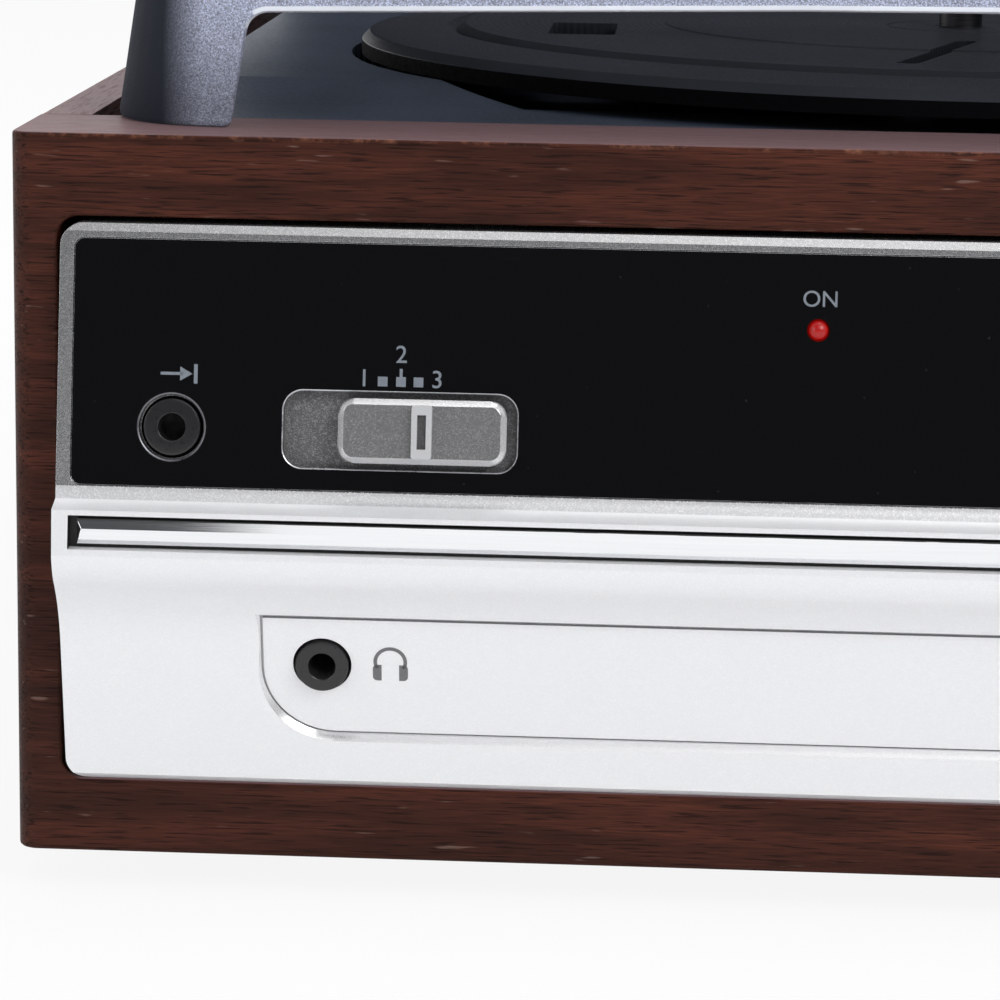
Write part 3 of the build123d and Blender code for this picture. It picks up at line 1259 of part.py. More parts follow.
def make_speed_knob():
    """A round selector with a pointer groove, on a stem through the deck."""
    top = DECK_TOP + SPEED_KNOB_H
    half = SPEED_MARK_W / 2
    knob = post(SPEED_X, SPEED_Y, DECK_TOP + FIT, top, SPEED_KNOB_R)
    knob = fillet(knob.edges().group_by(Axis.Z)[-1], DECK_KNOB_R)
    knob -= block(
        SPEED_X - half, SPEED_X + half, SPEED_Y - SPEED_KNOB_R, SPEED_Y - SPEED_KNOB_R / 4,
        top - SPEED_MARK_DEEP, top + PAST,
    )
    return knob + post(SPEED_X, SPEED_Y, DECK_UNDER - KNOB_STEM_UNDER, DECK_TOP + PAST, SPEED_STEM_R)


def make_stop_knob():
    """A small slide knob on a flat stem through its slot in the deck."""
    w = STOP_W / 2
    d = STOP_L / 2
    stem_w = STOP_STEM_W / 2
    stem_d = STOP_STEM_L / 2
    foot = DECK_UNDER - KNOB_STEM_UNDER
    knob = block(STOP_X - w, STOP_X + w, STOP_Y - d, STOP_Y + d, DECK_TOP + FIT / 3, DECK_TOP + STOP_H)
    knob = fillet(knob.edges().filter_by(Axis.Z), DECK_KNOB_R)
    return knob + block(
        STOP_X - stem_w, STOP_X + stem_w, STOP_Y - stem_d, STOP_Y + stem_d, foot, DECK_TOP + PAST
    )


# ---- lid ----
def lid_form(inset, height, top_r):
    """The lid's drafted form, drawn in by a wall's thickness for its inside."""
    w = CAB_W - 2 * LID_EDGE - 2 * inset
    d = LID_BACK - LID_FRONT - 2 * inset
    at = Pos(MID_X, (LID_BACK + LID_FRONT) / 2, CAB_H)
    form = at * extrude(RectangleRounded(w, d, LID_CORNER_R - inset), height, taper=LID_DRAFT)
    return fillet(form.edges().group_by(Axis.Z)[-1], top_r)


def front_opening():
    """The wide low opening in the lid's front, a little arched, for records and fingers."""
    half = MID_X - OPENING_EDGE
    inner = half - OPENING_LEAN
    top = OPENING_H
    arch = ThreePointArc((-inner, top), (0, top + OPENING_ARCH), (inner, top))
    rest = Polyline((inner, top), (half, 0), (half, -PAST), (-half, -PAST), (-half, 0), (-inner, top))
    sheet = make_face([*arch.edges(), *rest.edges()])
    sheet = fillet(sheet.vertices().group_by(Axis.Y)[-1], OPENING_R)
    plane = Plane(origin=(MID_X, LID_FRONT + OPENING_CUT, CAB_H), x_dir=EAST, z_dir=(0, -1, 0))
    return extrude(plane * sheet, OPENING_CUT + LID_FRONT)


def side_opening():
    w = SIDE_OPENING_BACK - SIDE_OPENING_FRONT
    sheet = Pos(0, (OPENING_H - PAST) / 2) * Rectangle(w, OPENING_H + PAST)
    sheet = fillet(sheet.vertices().group_by(Axis.Y)[-1], OPENING_R)
    middle = (SIDE_OPENING_BACK + SIDE_OPENING_FRONT) / 2
    plane = Plane(origin=(LID_EDGE + OPENING_CUT, middle, CAB_H), x_dir=(0, -1, 0), z_dir=(-1, 0, 0))
    return extrude(plane * sheet, OPENING_CUT + LID_EDGE)


def make_lid():
    shell = lid_form(0, LID_H, LID_TOP_R)
    shell -= lid_form(LID_WALL, LID_H - LID_WALL, LID_TOP_R - LID_WALL)
    return shell - front_opening() - side_opening()


def make_hinge_leaves():
    """The lid's half of each hinge: a plate on the lid's back wall and a barrel."""
    leaves = []
    half = HINGE_LEAF_W / 2
    for x in (HINGE_X, CAB_W - HINGE_X):
        lap = LID_BACK - HINGE_LEAF_LAP
        plate = block(x - half, x + half, lap, HINGE_Y, HINGE_Z, HINGE_Z + HINGE_LEAF_H)
        wall_y = LID_BACK - (HINGE_Z - CAB_H) * tan(radians(LID_DRAFT))
        slope = Rot(LID_DRAFT, 0, 0) * Pos(0, HINGE_LEAF_T / 2, 0)
        slope *= Box(2 * HINGE_LEAF_W, HINGE_LEAF_T, 3 * HINGE_LEAF_H)
        plate &= Pos(x, wall_y, HINGE_Z) * slope
        plate += bar_x(HINGE_Y, HINGE_Z, x - half, x + half, HINGE_R)
        web = LID_BACK - HINGE_WEB_LAP
        plate += block(x - half, x + half, web, HINGE_Y, HINGE_Z, HINGE_Z + HINGE_R)
        plate -= lid_form(0, LID_H, LID_TOP_R)
        reach = HINGE_LEAF_W
        leaves.append(plate - bar_x(HINGE_Y, HINGE_Z, x - reach, x + reach, HINGE_PIN_R + RUNNING))
    return leaves


def make_hinge_brackets():
    """The cabinet's half of each hinge: a foot on the deck's rear rail and two knuckles."""
    brackets = []
    inner = HINGE_LEAF_W / 2 + FIT
    outer = inner + HINGE_KNUCKLE_W
    foot_top = HINGE_Z - HINGE_R - FIT
    for x in (HINGE_X, CAB_W - HINGE_X):
        front = HINGE_Y - HINGE_FOOT_FRONT
        foot = block(x - outer, x + outer, front, HINGE_Y + HINGE_R, DECK_CHANNEL_Z, foot_top)
        for side in (-1, 1):
            near, far = sorted((x + side * inner, x + side * outer))
            foot += bar_x(HINGE_Y, HINGE_Z, near, far, HINGE_R)
            foot += block(near, far, HINGE_Y - HINGE_R, HINGE_Y + HINGE_R, DECK_CHANNEL_Z, HINGE_Z)
        reach = outer + PAST
        brackets.append(foot - bar_x(HINGE_Y, HINGE_Z, x - reach, x + reach, HINGE_PIN_R))
    return brackets


def make_hinge_pins():
    reach = HINGE_LEAF_W / 2 + FIT + HINGE_KNUCKLE_W
    places = (HINGE_X, CAB_W - HINGE_X)
    return [bar_x(HINGE_Y, HINGE_Z, x - reach, x + reach, HINGE_PIN_R) for x in places]


# ---- inside the cabinet ----
def make_speaker():
    """A round speaker: basket, magnet and a hollow cone, square to the side board."""
    section = Polygon(
        (0, CONE_DEEP),
        (CONE_FACE_R, CONE_DEEP),
        (SPEAKER_R - 2 * SPEAKER_RIM, 0.8),
        (SPEAKER_R - SPEAKER_RIM, 0),
        (SPEAKER_R, 0),
        (SPEAKER_R, BASKET_T),
        (SPEAKER_R - SPEAKER_RIM - 1, BASKET_T),
        (MAGNET_R, MAGNET_FRONT),
        (MAGNET_R, MAGNET_BACK),
        (0, MAGNET_BACK),
        align=None,
    )
    drum = revolve(Plane.XZ * section, Axis.Z)
    return Pos(SIDE_INNER, SPEAKER_Y, SPEAKER_Z) * Rot(0, 90, 0) * drum


def make_speaker_grille():
    grille = bar_x(SPEAKER_Y, SPEAKER_Z, SIDE_SET_IN, SIDE_SET_IN + GRILLE_T, GRILLE_R)
    for row in range(GRILLE_SLOTS):
        z = (row - (GRILLE_SLOTS - 1) / 2) * GRILLE_PITCH
        half = sqrt((SPEAKER_HOLE_R - GRILLE_MARGIN) ** 2 - z * z)
        z0 = SPEAKER_Z + z - GRILLE_SLOT_H / 2
        x1 = SIDE_SET_IN + GRILLE_T + PAST
        grille -= block(-PAST, x1, SPEAKER_Y - half, SPEAKER_Y + half, z0, z0 + GRILLE_SLOT_H)
    return grille


def make_transformer():
    spot = Pos(TRANSFORMER_X, TRANSFORMER_Y, BOTTOM_T)
    core = spot * Box(CORE_W, CORE_L, CORE_H, align=BASE)
    coil = spot * Pos(0, 0, (CORE_H - COIL_H) / 2) * Box(COIL_W, COIL_L, COIL_H, align=BASE)
    return core + fillet(coil.edges().filter_by(Axis.Z), COIL_R)


def board_corners():
    w = MAIN_BOARD_W / 2 - SPACER_INSET
    d = MAIN_BOARD_L / 2 - SPACER_INSET
    return [(MAIN_BOARD_X + i * w, MAIN_BOARD_Y + j * d) for i in (-1, 1) for j in (-1, 1)]


def make_board_spacers():
    return [post(x, y, BOTTOM_T, BOTTOM_T + SPACER_H, SPACER_R) for x, y in board_corners()]


def make_main_board():
    """The main circuit board with its heatsink and three large capacitors."""
    z0 = BOTTOM_T + SPACER_H
    spot = Pos(MAIN_BOARD_X, MAIN_BOARD_Y, z0)
    fins = spot * Pos(0, MAIN_BOARD_L / 2 - 1.5 * HEATSINK_T, 0)
    board = spot * Box(MAIN_BOARD_W, MAIN_BOARD_L, BOARD_T, align=BASE)
    board += fins * Box(HEATSINK_W, HEATSINK_T, BOARD_T + HEATSINK_H, align=BASE)
    for i in range(CANS):
        can = Pos(CAN_PITCH * (i + 1) - MAIN_BOARD_W / 2, -MAIN_BOARD_L / 4, 0)
        board += spot * can * Cylinder(CAN_R, BOARD_T + CAN_H, align=BASE)
    return board


def make_aerial():
    """The ferrite rod and its coil, held in two clips on the back panel."""
    x0 = MID_X - AERIAL_L / 2
    z0 = AERIAL_Z - AERIAL_CLIP_H / 2
    z1 = AERIAL_Z + AERIAL_CLIP_H / 2
    front = AERIAL_Y - AERIAL_CLIP_REACH
    coil_r = AERIAL_R + AERIAL_COIL_T
    rod = bar_x(AERIAL_Y, AERIAL_Z, x0, x0 + AERIAL_L, AERIAL_R)
    rod += bar_x(AERIAL_Y, AERIAL_Z, x0 + AERIAL_COIL_START, x0 + AERIAL_COIL_END, coil_r)
    for x in (x0 + AERIAL_CLIP_X, x0 + AERIAL_L - AERIAL_COIL_START):
        rod += block(x, x + AERIAL_CLIP_W, front, CAB_D - BACK_T, z0, z1)
    return rod


def make_inlet():
    """A two-pin mains inlet, without a cord."""
    y0 = CAB_D - BACK_T - INLET_DEEP
    body_w = INLET_HOLE_W / 2 - FIT
    body_h = INLET_HOLE_H / 2 - FIT
    w = INLET_FLANGE_W / 2
    h = INLET_FLANGE_H / 2
    flange = CAB_D + INLET_FLANGE_T
    mouth = Pos(INLET_X, CAB_D + 2, INLET_Z) * Rot(90, 0, 0)
    body = block(INLET_X - body_w, INLET_X + body_w, y0, CAB_D + 1, INLET_Z - body_h, INLET_Z + body_h)
    body += block(INLET_X - w, INLET_X + w, CAB_D, flange, INLET_Z - h, INLET_Z + h)
    body -= mouth * extrude(SlotOverall(INLET_WELL_W, INLET_WELL_H), INLET_WELL_DEEP)
    for side in (-1, 1):
        body += bar_y(INLET_X + side * INLET_PIN_PITCH / 2, INLET_Z, y0 + 2, CAB_D, INLET_PIN_R)
    return body


def make_line_out():
    y0 = CAB_D - BACK_T
    edge = LINE_OUT_BODY / 2
    x1 = LINE_OUT_X + LINE_OUT_PITCH + edge
    depth = 1.5 * LINE_OUT_L
    plate = block(LINE_OUT_X - edge, x1, y0 - depth, y0, LINE_OUT_Z - edge, LINE_OUT_Z + edge)
    seat = y0 - PAST
    ring_end = CAB_D + LINE_OUT_RING_PROUD
    for x in (LINE_OUT_X, LINE_OUT_X + LINE_OUT_PITCH):
        plate += bar_y(x, LINE_OUT_Z, seat, ring_end, LINE_OUT_RING_R)
        plate += bar_y(x, LINE_OUT_Z, seat, CAB_D + LINE_OUT_L, LINE_OUT_R)
        plate -= bar_y(x, LINE_OUT_Z, y0 - depth / 2, CAB_D + LINE_OUT_L + PAST, LINE_OUT_BORE_R)
    return plate


def all_pieces():
    """Every piece by name, where it lies in the cabinet."""
    side = make_side_board()
    grille = make_speaker_grille()
    panel_slide = on_panel(FUNCTION_X, FUNCTION_Z)
    inset_slide = on_inset(BAND_X, BAND_Z)
    return {
        "front_board": make_front_board(),
        "side_board_left": side,
        "side_board_right": mirrored(side),
        "bottom_board": make_bottom_board(),
        "back_panel": make_back_panel(),
        "feet": make_feet(),
        "fascia": make_fascia(),
        "black_panel": make_black_panel(),
        "chrome_strip": make_chrome_strip(),
        "aux_socket": make_jack(on_panel(AUX_X, AUX_Z), -JACK_RECESS, JACK_R),
        "headphone_socket": make_jack(on_inset(PHONES_X, PHONES_Z), PHONES_PROUD, PHONES_R),
        "function_knob": make_slide_knob(panel_slide, SLIDER_OFFSET),
        "function_switch": make_switch(panel_slide, BOARD_DEPTH),
        "band_knob": make_slide_knob(inset_slide, -SLIDER_OFFSET),
        "band_switch": make_switch(inset_slide, BAND_SWITCH_BACK),
        "power_light": make_light(),
        "dial_lens": make_dial_lens(),
        "dial_scale": make_dial_scale(),
        "dial_pointer": make_dial_pointer(),
        "volume_knob": make_knob(VOLUME_X),
        "volume_control": make_volume_control(),
        "tuning_knob": make_knob(TUNING_X),
        "tuning_bush": make_tuning_bush(),
        "tuning_drum": make_tuning_drum(),
        "tuning_capacitor": make_tuning_capacitor(),
        "control_board": make_control_board(),
        "deck": make_deck(),
        "platter": make_platter(),
        "spindle": make_spindle(),
        "spindle_bearing": make_spindle_bearing(),
        "thrust_washer": make_thrust_washer(),
        "drive_belt": make_belt(),
        "motor": make_motor(),
        "motor_pulley": make_motor_pulley(),
        "adapter_45": make_adapter(),
        "tonearm_base": make_tonearm_base(),
        "tonearm_yoke": make_tonearm_yoke(),
        "lift_pin": make_lift_pin(),
        "tonearm": make_tonearm(),
        "cartridge": make_cartridge(),
        "stylus": make_stylus(),
        "arm_rest": make_arm_rest(),
        "arm_clip": make_arm_clip(),
        "cue_lever": make_cue_lever(),
        "cue_lifter": make_cue_lifter(),
        "speed_knob": make_speed_knob(),
        "auto_stop_knob": make_stop_knob(),
        "lid": make_lid(),
        "hinge_leaves": make_hinge_leaves(),
        "hinge_brackets": make_hinge_brackets(),
        "hinge_pins": make_hinge_pins(),
        "speakers": both_ends(make_speaker()),
        "speaker_grilles": both_ends(grille),
        "transformer": make_transformer(),
        "main_board": make_main_board(),
        "board_spacers": make_board_spacers(),
        "ferrite_aerial": make_aerial(),
        "mains_inlet": make_inlet(),
        "line_out_sockets": make_line_out(),
    }


def solids_in(shape):
    """The separate solids of one piece or of a set of like pieces."""
    if isinstance(shape, (list, tuple)):
        return [solid for each in shape for solid in solids_in(each)]
    return list(shape.solids())


def main():
    os.makedirs("parts", exist_ok=True)
    pieces = {name: Compound(solids_in(shape)) for name, shape in all_pieces().items()}
    box = Compound(list(pieces.values())).bounding_box()
    place = Pos(-box.center().X, -box.center().Y, -box.min.Z)
    for name, piece in pieces.items():
        export_step(place * piece, f"parts/{name}.step")
    print("moved by", -box.center().X, -box.center().Y, -box.min.Z)


main()
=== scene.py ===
from math import atan, atan2, copysign, pi, radians

import bmesh
import bpy
from bpy.props import FloatProperty, FloatVectorProperty, PointerProperty
from bpy.types import NodeSocket, Operator, Panel, PropertyGroup
from mathutils import Matrix, Vector


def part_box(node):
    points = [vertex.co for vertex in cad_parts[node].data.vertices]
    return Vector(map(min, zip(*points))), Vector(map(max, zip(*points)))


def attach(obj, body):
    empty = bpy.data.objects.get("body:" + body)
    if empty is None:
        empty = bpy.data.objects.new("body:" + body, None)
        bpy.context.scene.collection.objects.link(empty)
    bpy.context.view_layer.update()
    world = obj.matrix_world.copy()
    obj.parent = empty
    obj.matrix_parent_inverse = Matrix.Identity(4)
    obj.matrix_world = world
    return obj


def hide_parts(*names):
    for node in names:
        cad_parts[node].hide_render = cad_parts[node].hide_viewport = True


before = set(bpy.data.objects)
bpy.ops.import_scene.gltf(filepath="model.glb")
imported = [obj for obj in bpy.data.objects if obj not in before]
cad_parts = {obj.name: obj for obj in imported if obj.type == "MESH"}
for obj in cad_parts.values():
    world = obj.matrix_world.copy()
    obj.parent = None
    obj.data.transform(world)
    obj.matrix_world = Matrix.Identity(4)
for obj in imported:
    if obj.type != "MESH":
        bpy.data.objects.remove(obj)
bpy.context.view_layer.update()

bl_info = {
    "name": "Music centre",
    "version": (1, 0, 0),
    "blender": (4, 5, 0),
    "location": "3D View > Sidebar > Music centre",
    "description": "Dresses the frame of a stereo music centre with its finishes and fine shapes",
    "category": "Object",
}

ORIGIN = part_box("front_board")[0].copy()

# Places in millimetres from ORIGIN. A spot is (x, z) on the fascia.
PANEL_TOP = 86.2
PANEL_OUT = 1.2
PANEL_SLOPE = 5.5 / 32.9
INSET_TOP = 35.5
INSET_OUT = 4.9
INSET_SLOPE = 4.4 / 17.3
LINE_IN_SPOT = (22.6, 61.3)
PHONES_SPOT = (42.9, 28.5)
SLIDE_SPOT = (53.35, 61.45)
BAND_SPOT = (170.0, 26.8)
SLIDE_OFFSET = 3.05
LAMP_SPOT = (108.8, 76.1)
DIAL_SPOT = (188, 69.5)
DIAL_SPAN = 62
DIAL_DEEP = 6.2
KNOB_LINE = 69.0
KNOB_OUT = 0.6
PRINT_THICK = 0.03
MARK_OUT = 0.01
FIGURE_OUT = 0.02

# Heights and reaches in metres.
RIM = 0.004
RIDGE = ORIGIN.z + 0.0507
LEDGE_RISE = 0.0012
STRIP_MIDDLE = ORIGIN.z + 0.0476
STRIP_DEEP = 0.00065
STRIP_CREST = 0.00043
SLOT_REACH = 0.00236
SLOT_FLOOR = 0.0015
POCKET_BOX = ((-0.0167, -0.0061, -0.004), (0.0167, 0.0061, -0.0001))
WINDOW_BOX = ((-0.0007, -0.0024, 0.0018), (0.0007, 0.0024, 0.0023))
PANEL_BORDER = 0.003
FOOT_RADIUS = 0.011
PLATTER_CENTRE = ORIGIN + Vector((0.1352, 0.1283, 0.1))
WELL_REACH = 0.1015
PLATTER_SIDE = 0.0975
RINGS_REACH = 0.0805
OPENING_TOP = 0.022

# The camera and what the lamps point at.
CAMERA_PLACE = (-0.078459, -0.638556, 0.158764)
CAMERA_TURN = (78.31635, -0.88845, 3.09411)
CAMERA_LENS = 132.97
LAMP_AIM = Vector((0, 0, 0.05))


# ---- places ----
def at(x, y, z):
    """A point given in millimetres from the cabinet's front left lower corner."""
    return ORIGIN + Vector((x, y, z)) / 1000


def standing(place, tilt, out):
    """Stands a thing drawn in X and Y at a place, leaning by a tilt and moved out along its own Z."""
    turn = Matrix.Rotation(pi / 2 + tilt, 4, "X")
    return Matrix.Translation(place) @ turn @ Matrix.Translation((0, 0, out / 1000))


def on_panel(x, z, out=0.0):
    """Stands a thing on the black panel's face."""
    return standing(at(x, -PANEL_OUT - (PANEL_TOP - z) * PANEL_SLOPE, z), -atan(PANEL_SLOPE), out)


def on_inset(x, z, out=0.0):
    """Stands a thing on the lower inset's face."""
    return standing(at(x, -INSET_OUT + (INSET_TOP - z) * INSET_SLOPE, z), atan(INSET_SLOPE), out)


def within(spot, low, high):
    """Whether a spot lies between two corners."""
    return all(start < value < end for start, value, end in zip(low, spot, high))


# ---- settings ----
def colour_of(name, text, default):
    return FloatVectorProperty(
        name=name, description=text, subtype="COLOR", size=3, min=0, max=1, default=default
    )


def length_of(name, text, default):
    return FloatProperty(
        name=name, description=text, unit="LENGTH", subtype="DISTANCE", min=0, default=default
    )


def share_of(name, text, default):
    return FloatProperty(name=name, description=text, subtype="FACTOR", min=0, max=1, default=default)


def power_of(name, text, default):
    return FloatProperty(name=name, description=text, unit="POWER", min=0, default=default)


class CabinetSettings(PropertyGroup):
    dark: colour_of("Dark grain", "Colour of the dark figure in the foil", (0.03, 0.008, 0.0045))
    warm: colour_of("Warm grain", "Colour between the dark figure", (0.095, 0.026, 0.0145))
    worn: colour_of("Worn edge", "Colour where the foil is rubbed through", (0.36, 0.15, 0.085))
    painted_sheen: colour_of("Painted top sheen", "Painted sheen that lightens the boards' tops", (0.23, 0.145, 0.155))
    edge: length_of("Edge", "Radius of the boards' edges", 0.0005)


class FasciaSettings(PropertyGroup):
    silver: colour_of("Silver", "Colour of the silver paint", (0.8, 0.8, 0.81))
    black: colour_of("Black", "Colour of the gloss panel", (0.004, 0.004, 0.0045))
    print: colour_of("Print", "Colour of the marks on the panels", (0.21, 0.235, 0.27))
    lamp: colour_of("Lamp", "Colour of the power lamp", (0.42, 0.009, 0.008))
    edge: length_of("Edge", "Radius of the fascia's moulded edges", 0.0007)


class DeckSettings(PropertyGroup):
    deck: colour_of("Deck", "Colour of the deck's plastic", (0.062, 0.08, 0.118))
    platter: colour_of("Platter", "Colour of the platter", (0.036, 0.039, 0.047))
    arm: colour_of("Arm", "Colour of the tonearm's plastic", (0.018, 0.018, 0.02))
    rings: length_of("Rings", "Pitch of the platter's fine rings", 0.0011)


class LidSettings(PropertyGroup):
    smoke: colour_of("Smoke", "Colour of the smoked lid", (0.256, 0.271, 0.342))
    # Painted shade for the lid's sides.
    side: colour_of("Side", "Painted shade on the lid's sides", (0.02, 0.024, 0.038))
    rim: colour_of("Rim", "Painted highlight on the chamfer over the openings", (0.86, 0.9, 0.97))
    grain: length_of("Grain", "Size of the moulded grain", 0.00024)


class StudioSettings(PropertyGroup):
    floor: colour_of("Floor", "Colour of the floor", (0.86, 0.86, 0.865))
    key: power_of("Key", "Power of the large lamp in front", 18.0)
    top: power_of("Top", "Power of the lamp above", 10.0)
    fill: power_of("Fill", "Power of the side lamp", 4.0)
    sky: share_of("Sky", "Strength of the room's light", 0.42)
    dim: share_of("Dim side", "Strength of the room in front, as gloss shows it", 0.08)


SETTINGS = {
    "cabinet_finish": CabinetSettings,
    "fascia_finish": FasciaSettings,
    "deck_finish": DeckSettings,
    "lid_finish": LidSettings,
    "studio_light": StudioSettings,
}


# ---- materials ----
def shader_of(mat):
    return mat.node_tree.nodes["Principled BSDF"]


def start_material(name, colour, rough, metal=0.0, **more):
    """A new material whose even values are on the shader's own sockets."""
    made = bpy.data.materials.new(name)
    made.use_nodes = True
    even = {"Base Color": (*colour, 1), "Roughness": rough, "Metallic": metal, **more}
    for key, value in even.items():
        shader_of(made).inputs[key.replace("_", " ")].default_value = value
    return made


def join(source, target):
    source.id_data.links.new(source, target)


def add(beside, kind, inputs=None, **settings):
    """A shader node beside another's output or in a material, with values or outputs on its inputs."""
    tree = beside.id_data if isinstance(beside, NodeSocket) else beside.node_tree
    made = tree.nodes.new("ShaderNode" + kind)
    for key, value in settings.items():
        setattr(made, key, value)
    for key, value in (inputs or {}).items():
        if isinstance(value, NodeSocket):
            join(value, made.inputs[key])
        else:
            made.inputs[key].default_value = value
    return made


def finish(mat, tone=None, rough=None, height=None, depth=0.0):
    """Puts a tone and a roughness on the shader, and bumps it by a height with its depth in metres."""
    shader = shader_of(mat)
    if tone is not None:
        join(tone, shader.inputs["Base Color"])
    if rough is not None:
        join(rough, shader.inputs["Roughness"])
    if height is not None:
        bump = add(mat, "Bump", {"Height": height, "Distance": depth})
        join(bump.outputs[0], shader.inputs["Normal"])
    return mat


def mapped(spot, scale, turn=(0, 0, 0)):
    return add(spot, "Mapping", {"Vector": spot, "Scale": scale, "Rotation": turn}).outputs[0]


def placed(mat, scale=(1, 1, 1), turn=(0, 0, 0), centre=(0, 0, 0)):
    """Object coordinates, moved to a centre, turned and scaled."""
    spot = add(mat, "TexCoord").outputs["Object"]
    if any(centre):
        spot = add(mat, "VectorMath", {0: spot, 1: tuple(centre)}, operation="SUBTRACT").outputs[0]
    return mapped(spot, scale, turn)


def noise(spot, scale, detail=2.0, rough=0.5, bend=0.0):
    inputs = {"Vector": spot, "Scale": scale, "Detail": detail, "Roughness": rough, "Distortion": bend}
    return add(spot, "TexNoise", inputs).outputs["Fac"]


def ramp(fac, stops):
    """A colour ramp from (place, colour) pairs."""
    made = add(fac, "ValToRGB", {"Fac": fac})
    band = made.color_ramp
    while len(band.elements) < len(stops):
        band.elements.new(0.5)
    for element, (place, tone) in zip(band.elements, stops):
        element.position = place
        element.color = (*tone, 1)
    return made.outputs["Color"]


def grey(value):
    return (value, value, value)


def darker(colour, share):
    return tuple(part * share for part in colour)


def uneven(fac, colour, first, last, start=0.3, end=0.7):
    """Carries a colour from one share of itself to another."""
    return ramp(fac, [(start, darker(colour, first)), (end, darker(colour, last))])


def mask(fac, first, last, start, end):
    """Carries a grey from one value to another."""
    return uneven(fac, grey(1), first, last, start, end)


def coloured(value):
    """A colour with its alpha, or another node's output as it is."""
    return value if isinstance(value, NodeSocket) else (*value, 1)


def mix(fac, a, b, how="MIX"):
    beside = fac if isinstance(fac, NodeSocket) else a
    inputs = {0: fac, 6: coloured(a), 7: coloured(b)}
    return add(beside, "Mix", inputs, data_type="RGBA", blend_type=how).outputs[2]


def sums(how, a, b=0.0, c=0.0):
    return add(a, "Math", {0: a, 1: b, 2: c}, operation=how).outputs[0]


def gap(value, place):
    return sums("ABSOLUTE", sums("SUBTRACT", value, place))


def axes(spot):
    """The X, Y and Z of a vector, each as an output."""
    return add(spot, "SeparateXYZ", {0: spot}).outputs


def spread(fac, low, high, new_low, new_high):
    inputs = {"Value": fac, "From Min": low, "From Max": high, "To Min": new_low, "To Max": new_high}
    return add(fac, "MapRange", inputs).outputs["Result"]


def moulded(name, colour, rough, grain=0.0006, depth=0.00003, vary=0.12, **more):
    """Moulded plastic: a fine grain, a slow change of tone and an uneven sheen."""
    mat = start_material(name, colour, rough, **more)
    spot = placed(mat)
    tone = uneven(noise(spot, 35, 3), colour, 1 - vary, 1 + vary)
    fine = noise(spot, 1 / grain, 2, 0.6)
    sheen = spread(fine, 0.3, 0.7, rough * 0.85, min(1, rough * 1.2))
    return finish(mat, tone, sheen, fine, depth)


def turned_metal(name, colour, rough, stretch, vary=0.1):
    """Metal with fine lines that run one way."""
    mat = start_material(name, colour, rough, 1.0)
    lines = noise(placed(mat, stretch), 1, 3, 0.6)
    tone = uneven(lines, colour, 1 - vary, 1 + vary)
    return finish(mat, tone, spread(lines, 0.3, 0.7, rough * 0.7, rough * 1.4), lines, 0.00001)


def grain_noise(spot, along, across, *shape):
    """A noise stretched along X by one amount and across it by another."""
    return noise(mapped(spot, (along, across, across)), 1, *shape)


def walnut_foil(name, turn, top, corners):
    """Printed walnut foil: figure, dark pores, pale flecks, a painted sheen on the top and rubbed edges.

    turn carries the grain's run to X. A rubbed edge lies at the height top and at an axis with its place.
    """
    look = bpy.context.scene.cabinet_finish
    mat = start_material(name, look.warm, 0.5, Specular_IOR_Level=0.14)
    spot = placed(mat, turn=turn)
    figure = grain_noise(spot, 8, 110, 5, 0.62, 1.4)
    broad = grain_noise(spot, 2.2, 15, 3, 0.55, 0.8)
    both = sums("MULTIPLY_ADD", figure, 0.65, sums("MULTIPLY", broad, 0.35))
    tone = ramp(both, [
        (0.34, darker(look.warm, 0.3)), (0.44, darker(look.warm, 0.52)),
        (0.55, darker(look.warm, 0.9)), (0.7, darker(look.warm, 1.3)),
    ])
    threads = grain_noise(spot, 170, 5200, 2, 0.5)
    tone = mix(mask(threads, 0.5, 0.0, 0.35, 0.6), tone, darker(look.dark, 0.5))
    pores = mask(grain_noise(spot, 150, 3300, 2, 0.5), 0.0, 1.0, 0.36, 0.44)
    tone = mix(mask(pores, 0.8, 0.0, 0, 1), tone, darker(look.dark, 0.4))
    flecks = mask(grain_noise(spot, 170, 1300, 1, 0.5), 0.0, 0.4, 0.72, 0.8)
    tone = mix(flecks, tone, (0.27, 0.17, 0.14))
    coords = add(mat, "TexCoord").outputs
    # Painted highlight: faces that look up are lightened towards the sheen colour, as light from above would
    # light them.
    painted_sheen_share = spread(axes(coords["Normal"])[2], 0.7, 0.95, 0.0, 0.75)
    tone = mix(painted_sheen_share, tone, look.painted_sheen)
    parts = axes(coords["Object"])
    worn = 0.0
    for axis, place in corners:
        away = sums("ADD", gap(parts[2], top), gap(parts[axis], place))
        worn = sums("MAXIMUM", spread(away, 0.0002, 0.0008, 1.0, 0.0), worn)
    ragged = noise(placed(mat), 420, 3, 0.7)
    rub = sums("MULTIPLY", worn, spread(ragged, 0.48, 0.7, 0.0, 0.6))
    tone = mix(rub, tone, look.worn)
    height = sums("MULTIPLY_ADD", threads, 0.3, pores)
    return finish(mat, tone, spread(pores, 0, 1, 0.64, 0.46), height, 0.00004)


def painted_crevice_shade(tone, dark, reach):
    """Paints shade into a tone where the surface lies in a narrow slot."""
    open_share = add(tone, "AmbientOcclusion", {"Distance": reach}, samples=16).outputs["AO"]
    return mix(spread(open_share, 0.05, 0.4, 1.0, 0.0), tone, dark)


def shade_hollows(mat, colour, reach):
    """Paints shade on a plastic where it lies deep beside a wall."""
    socket = shader_of(mat).inputs["Base Color"]
    join(painted_crevice_shade(socket.links[0].from_socket, darker(colour, 0.12), reach), socket)


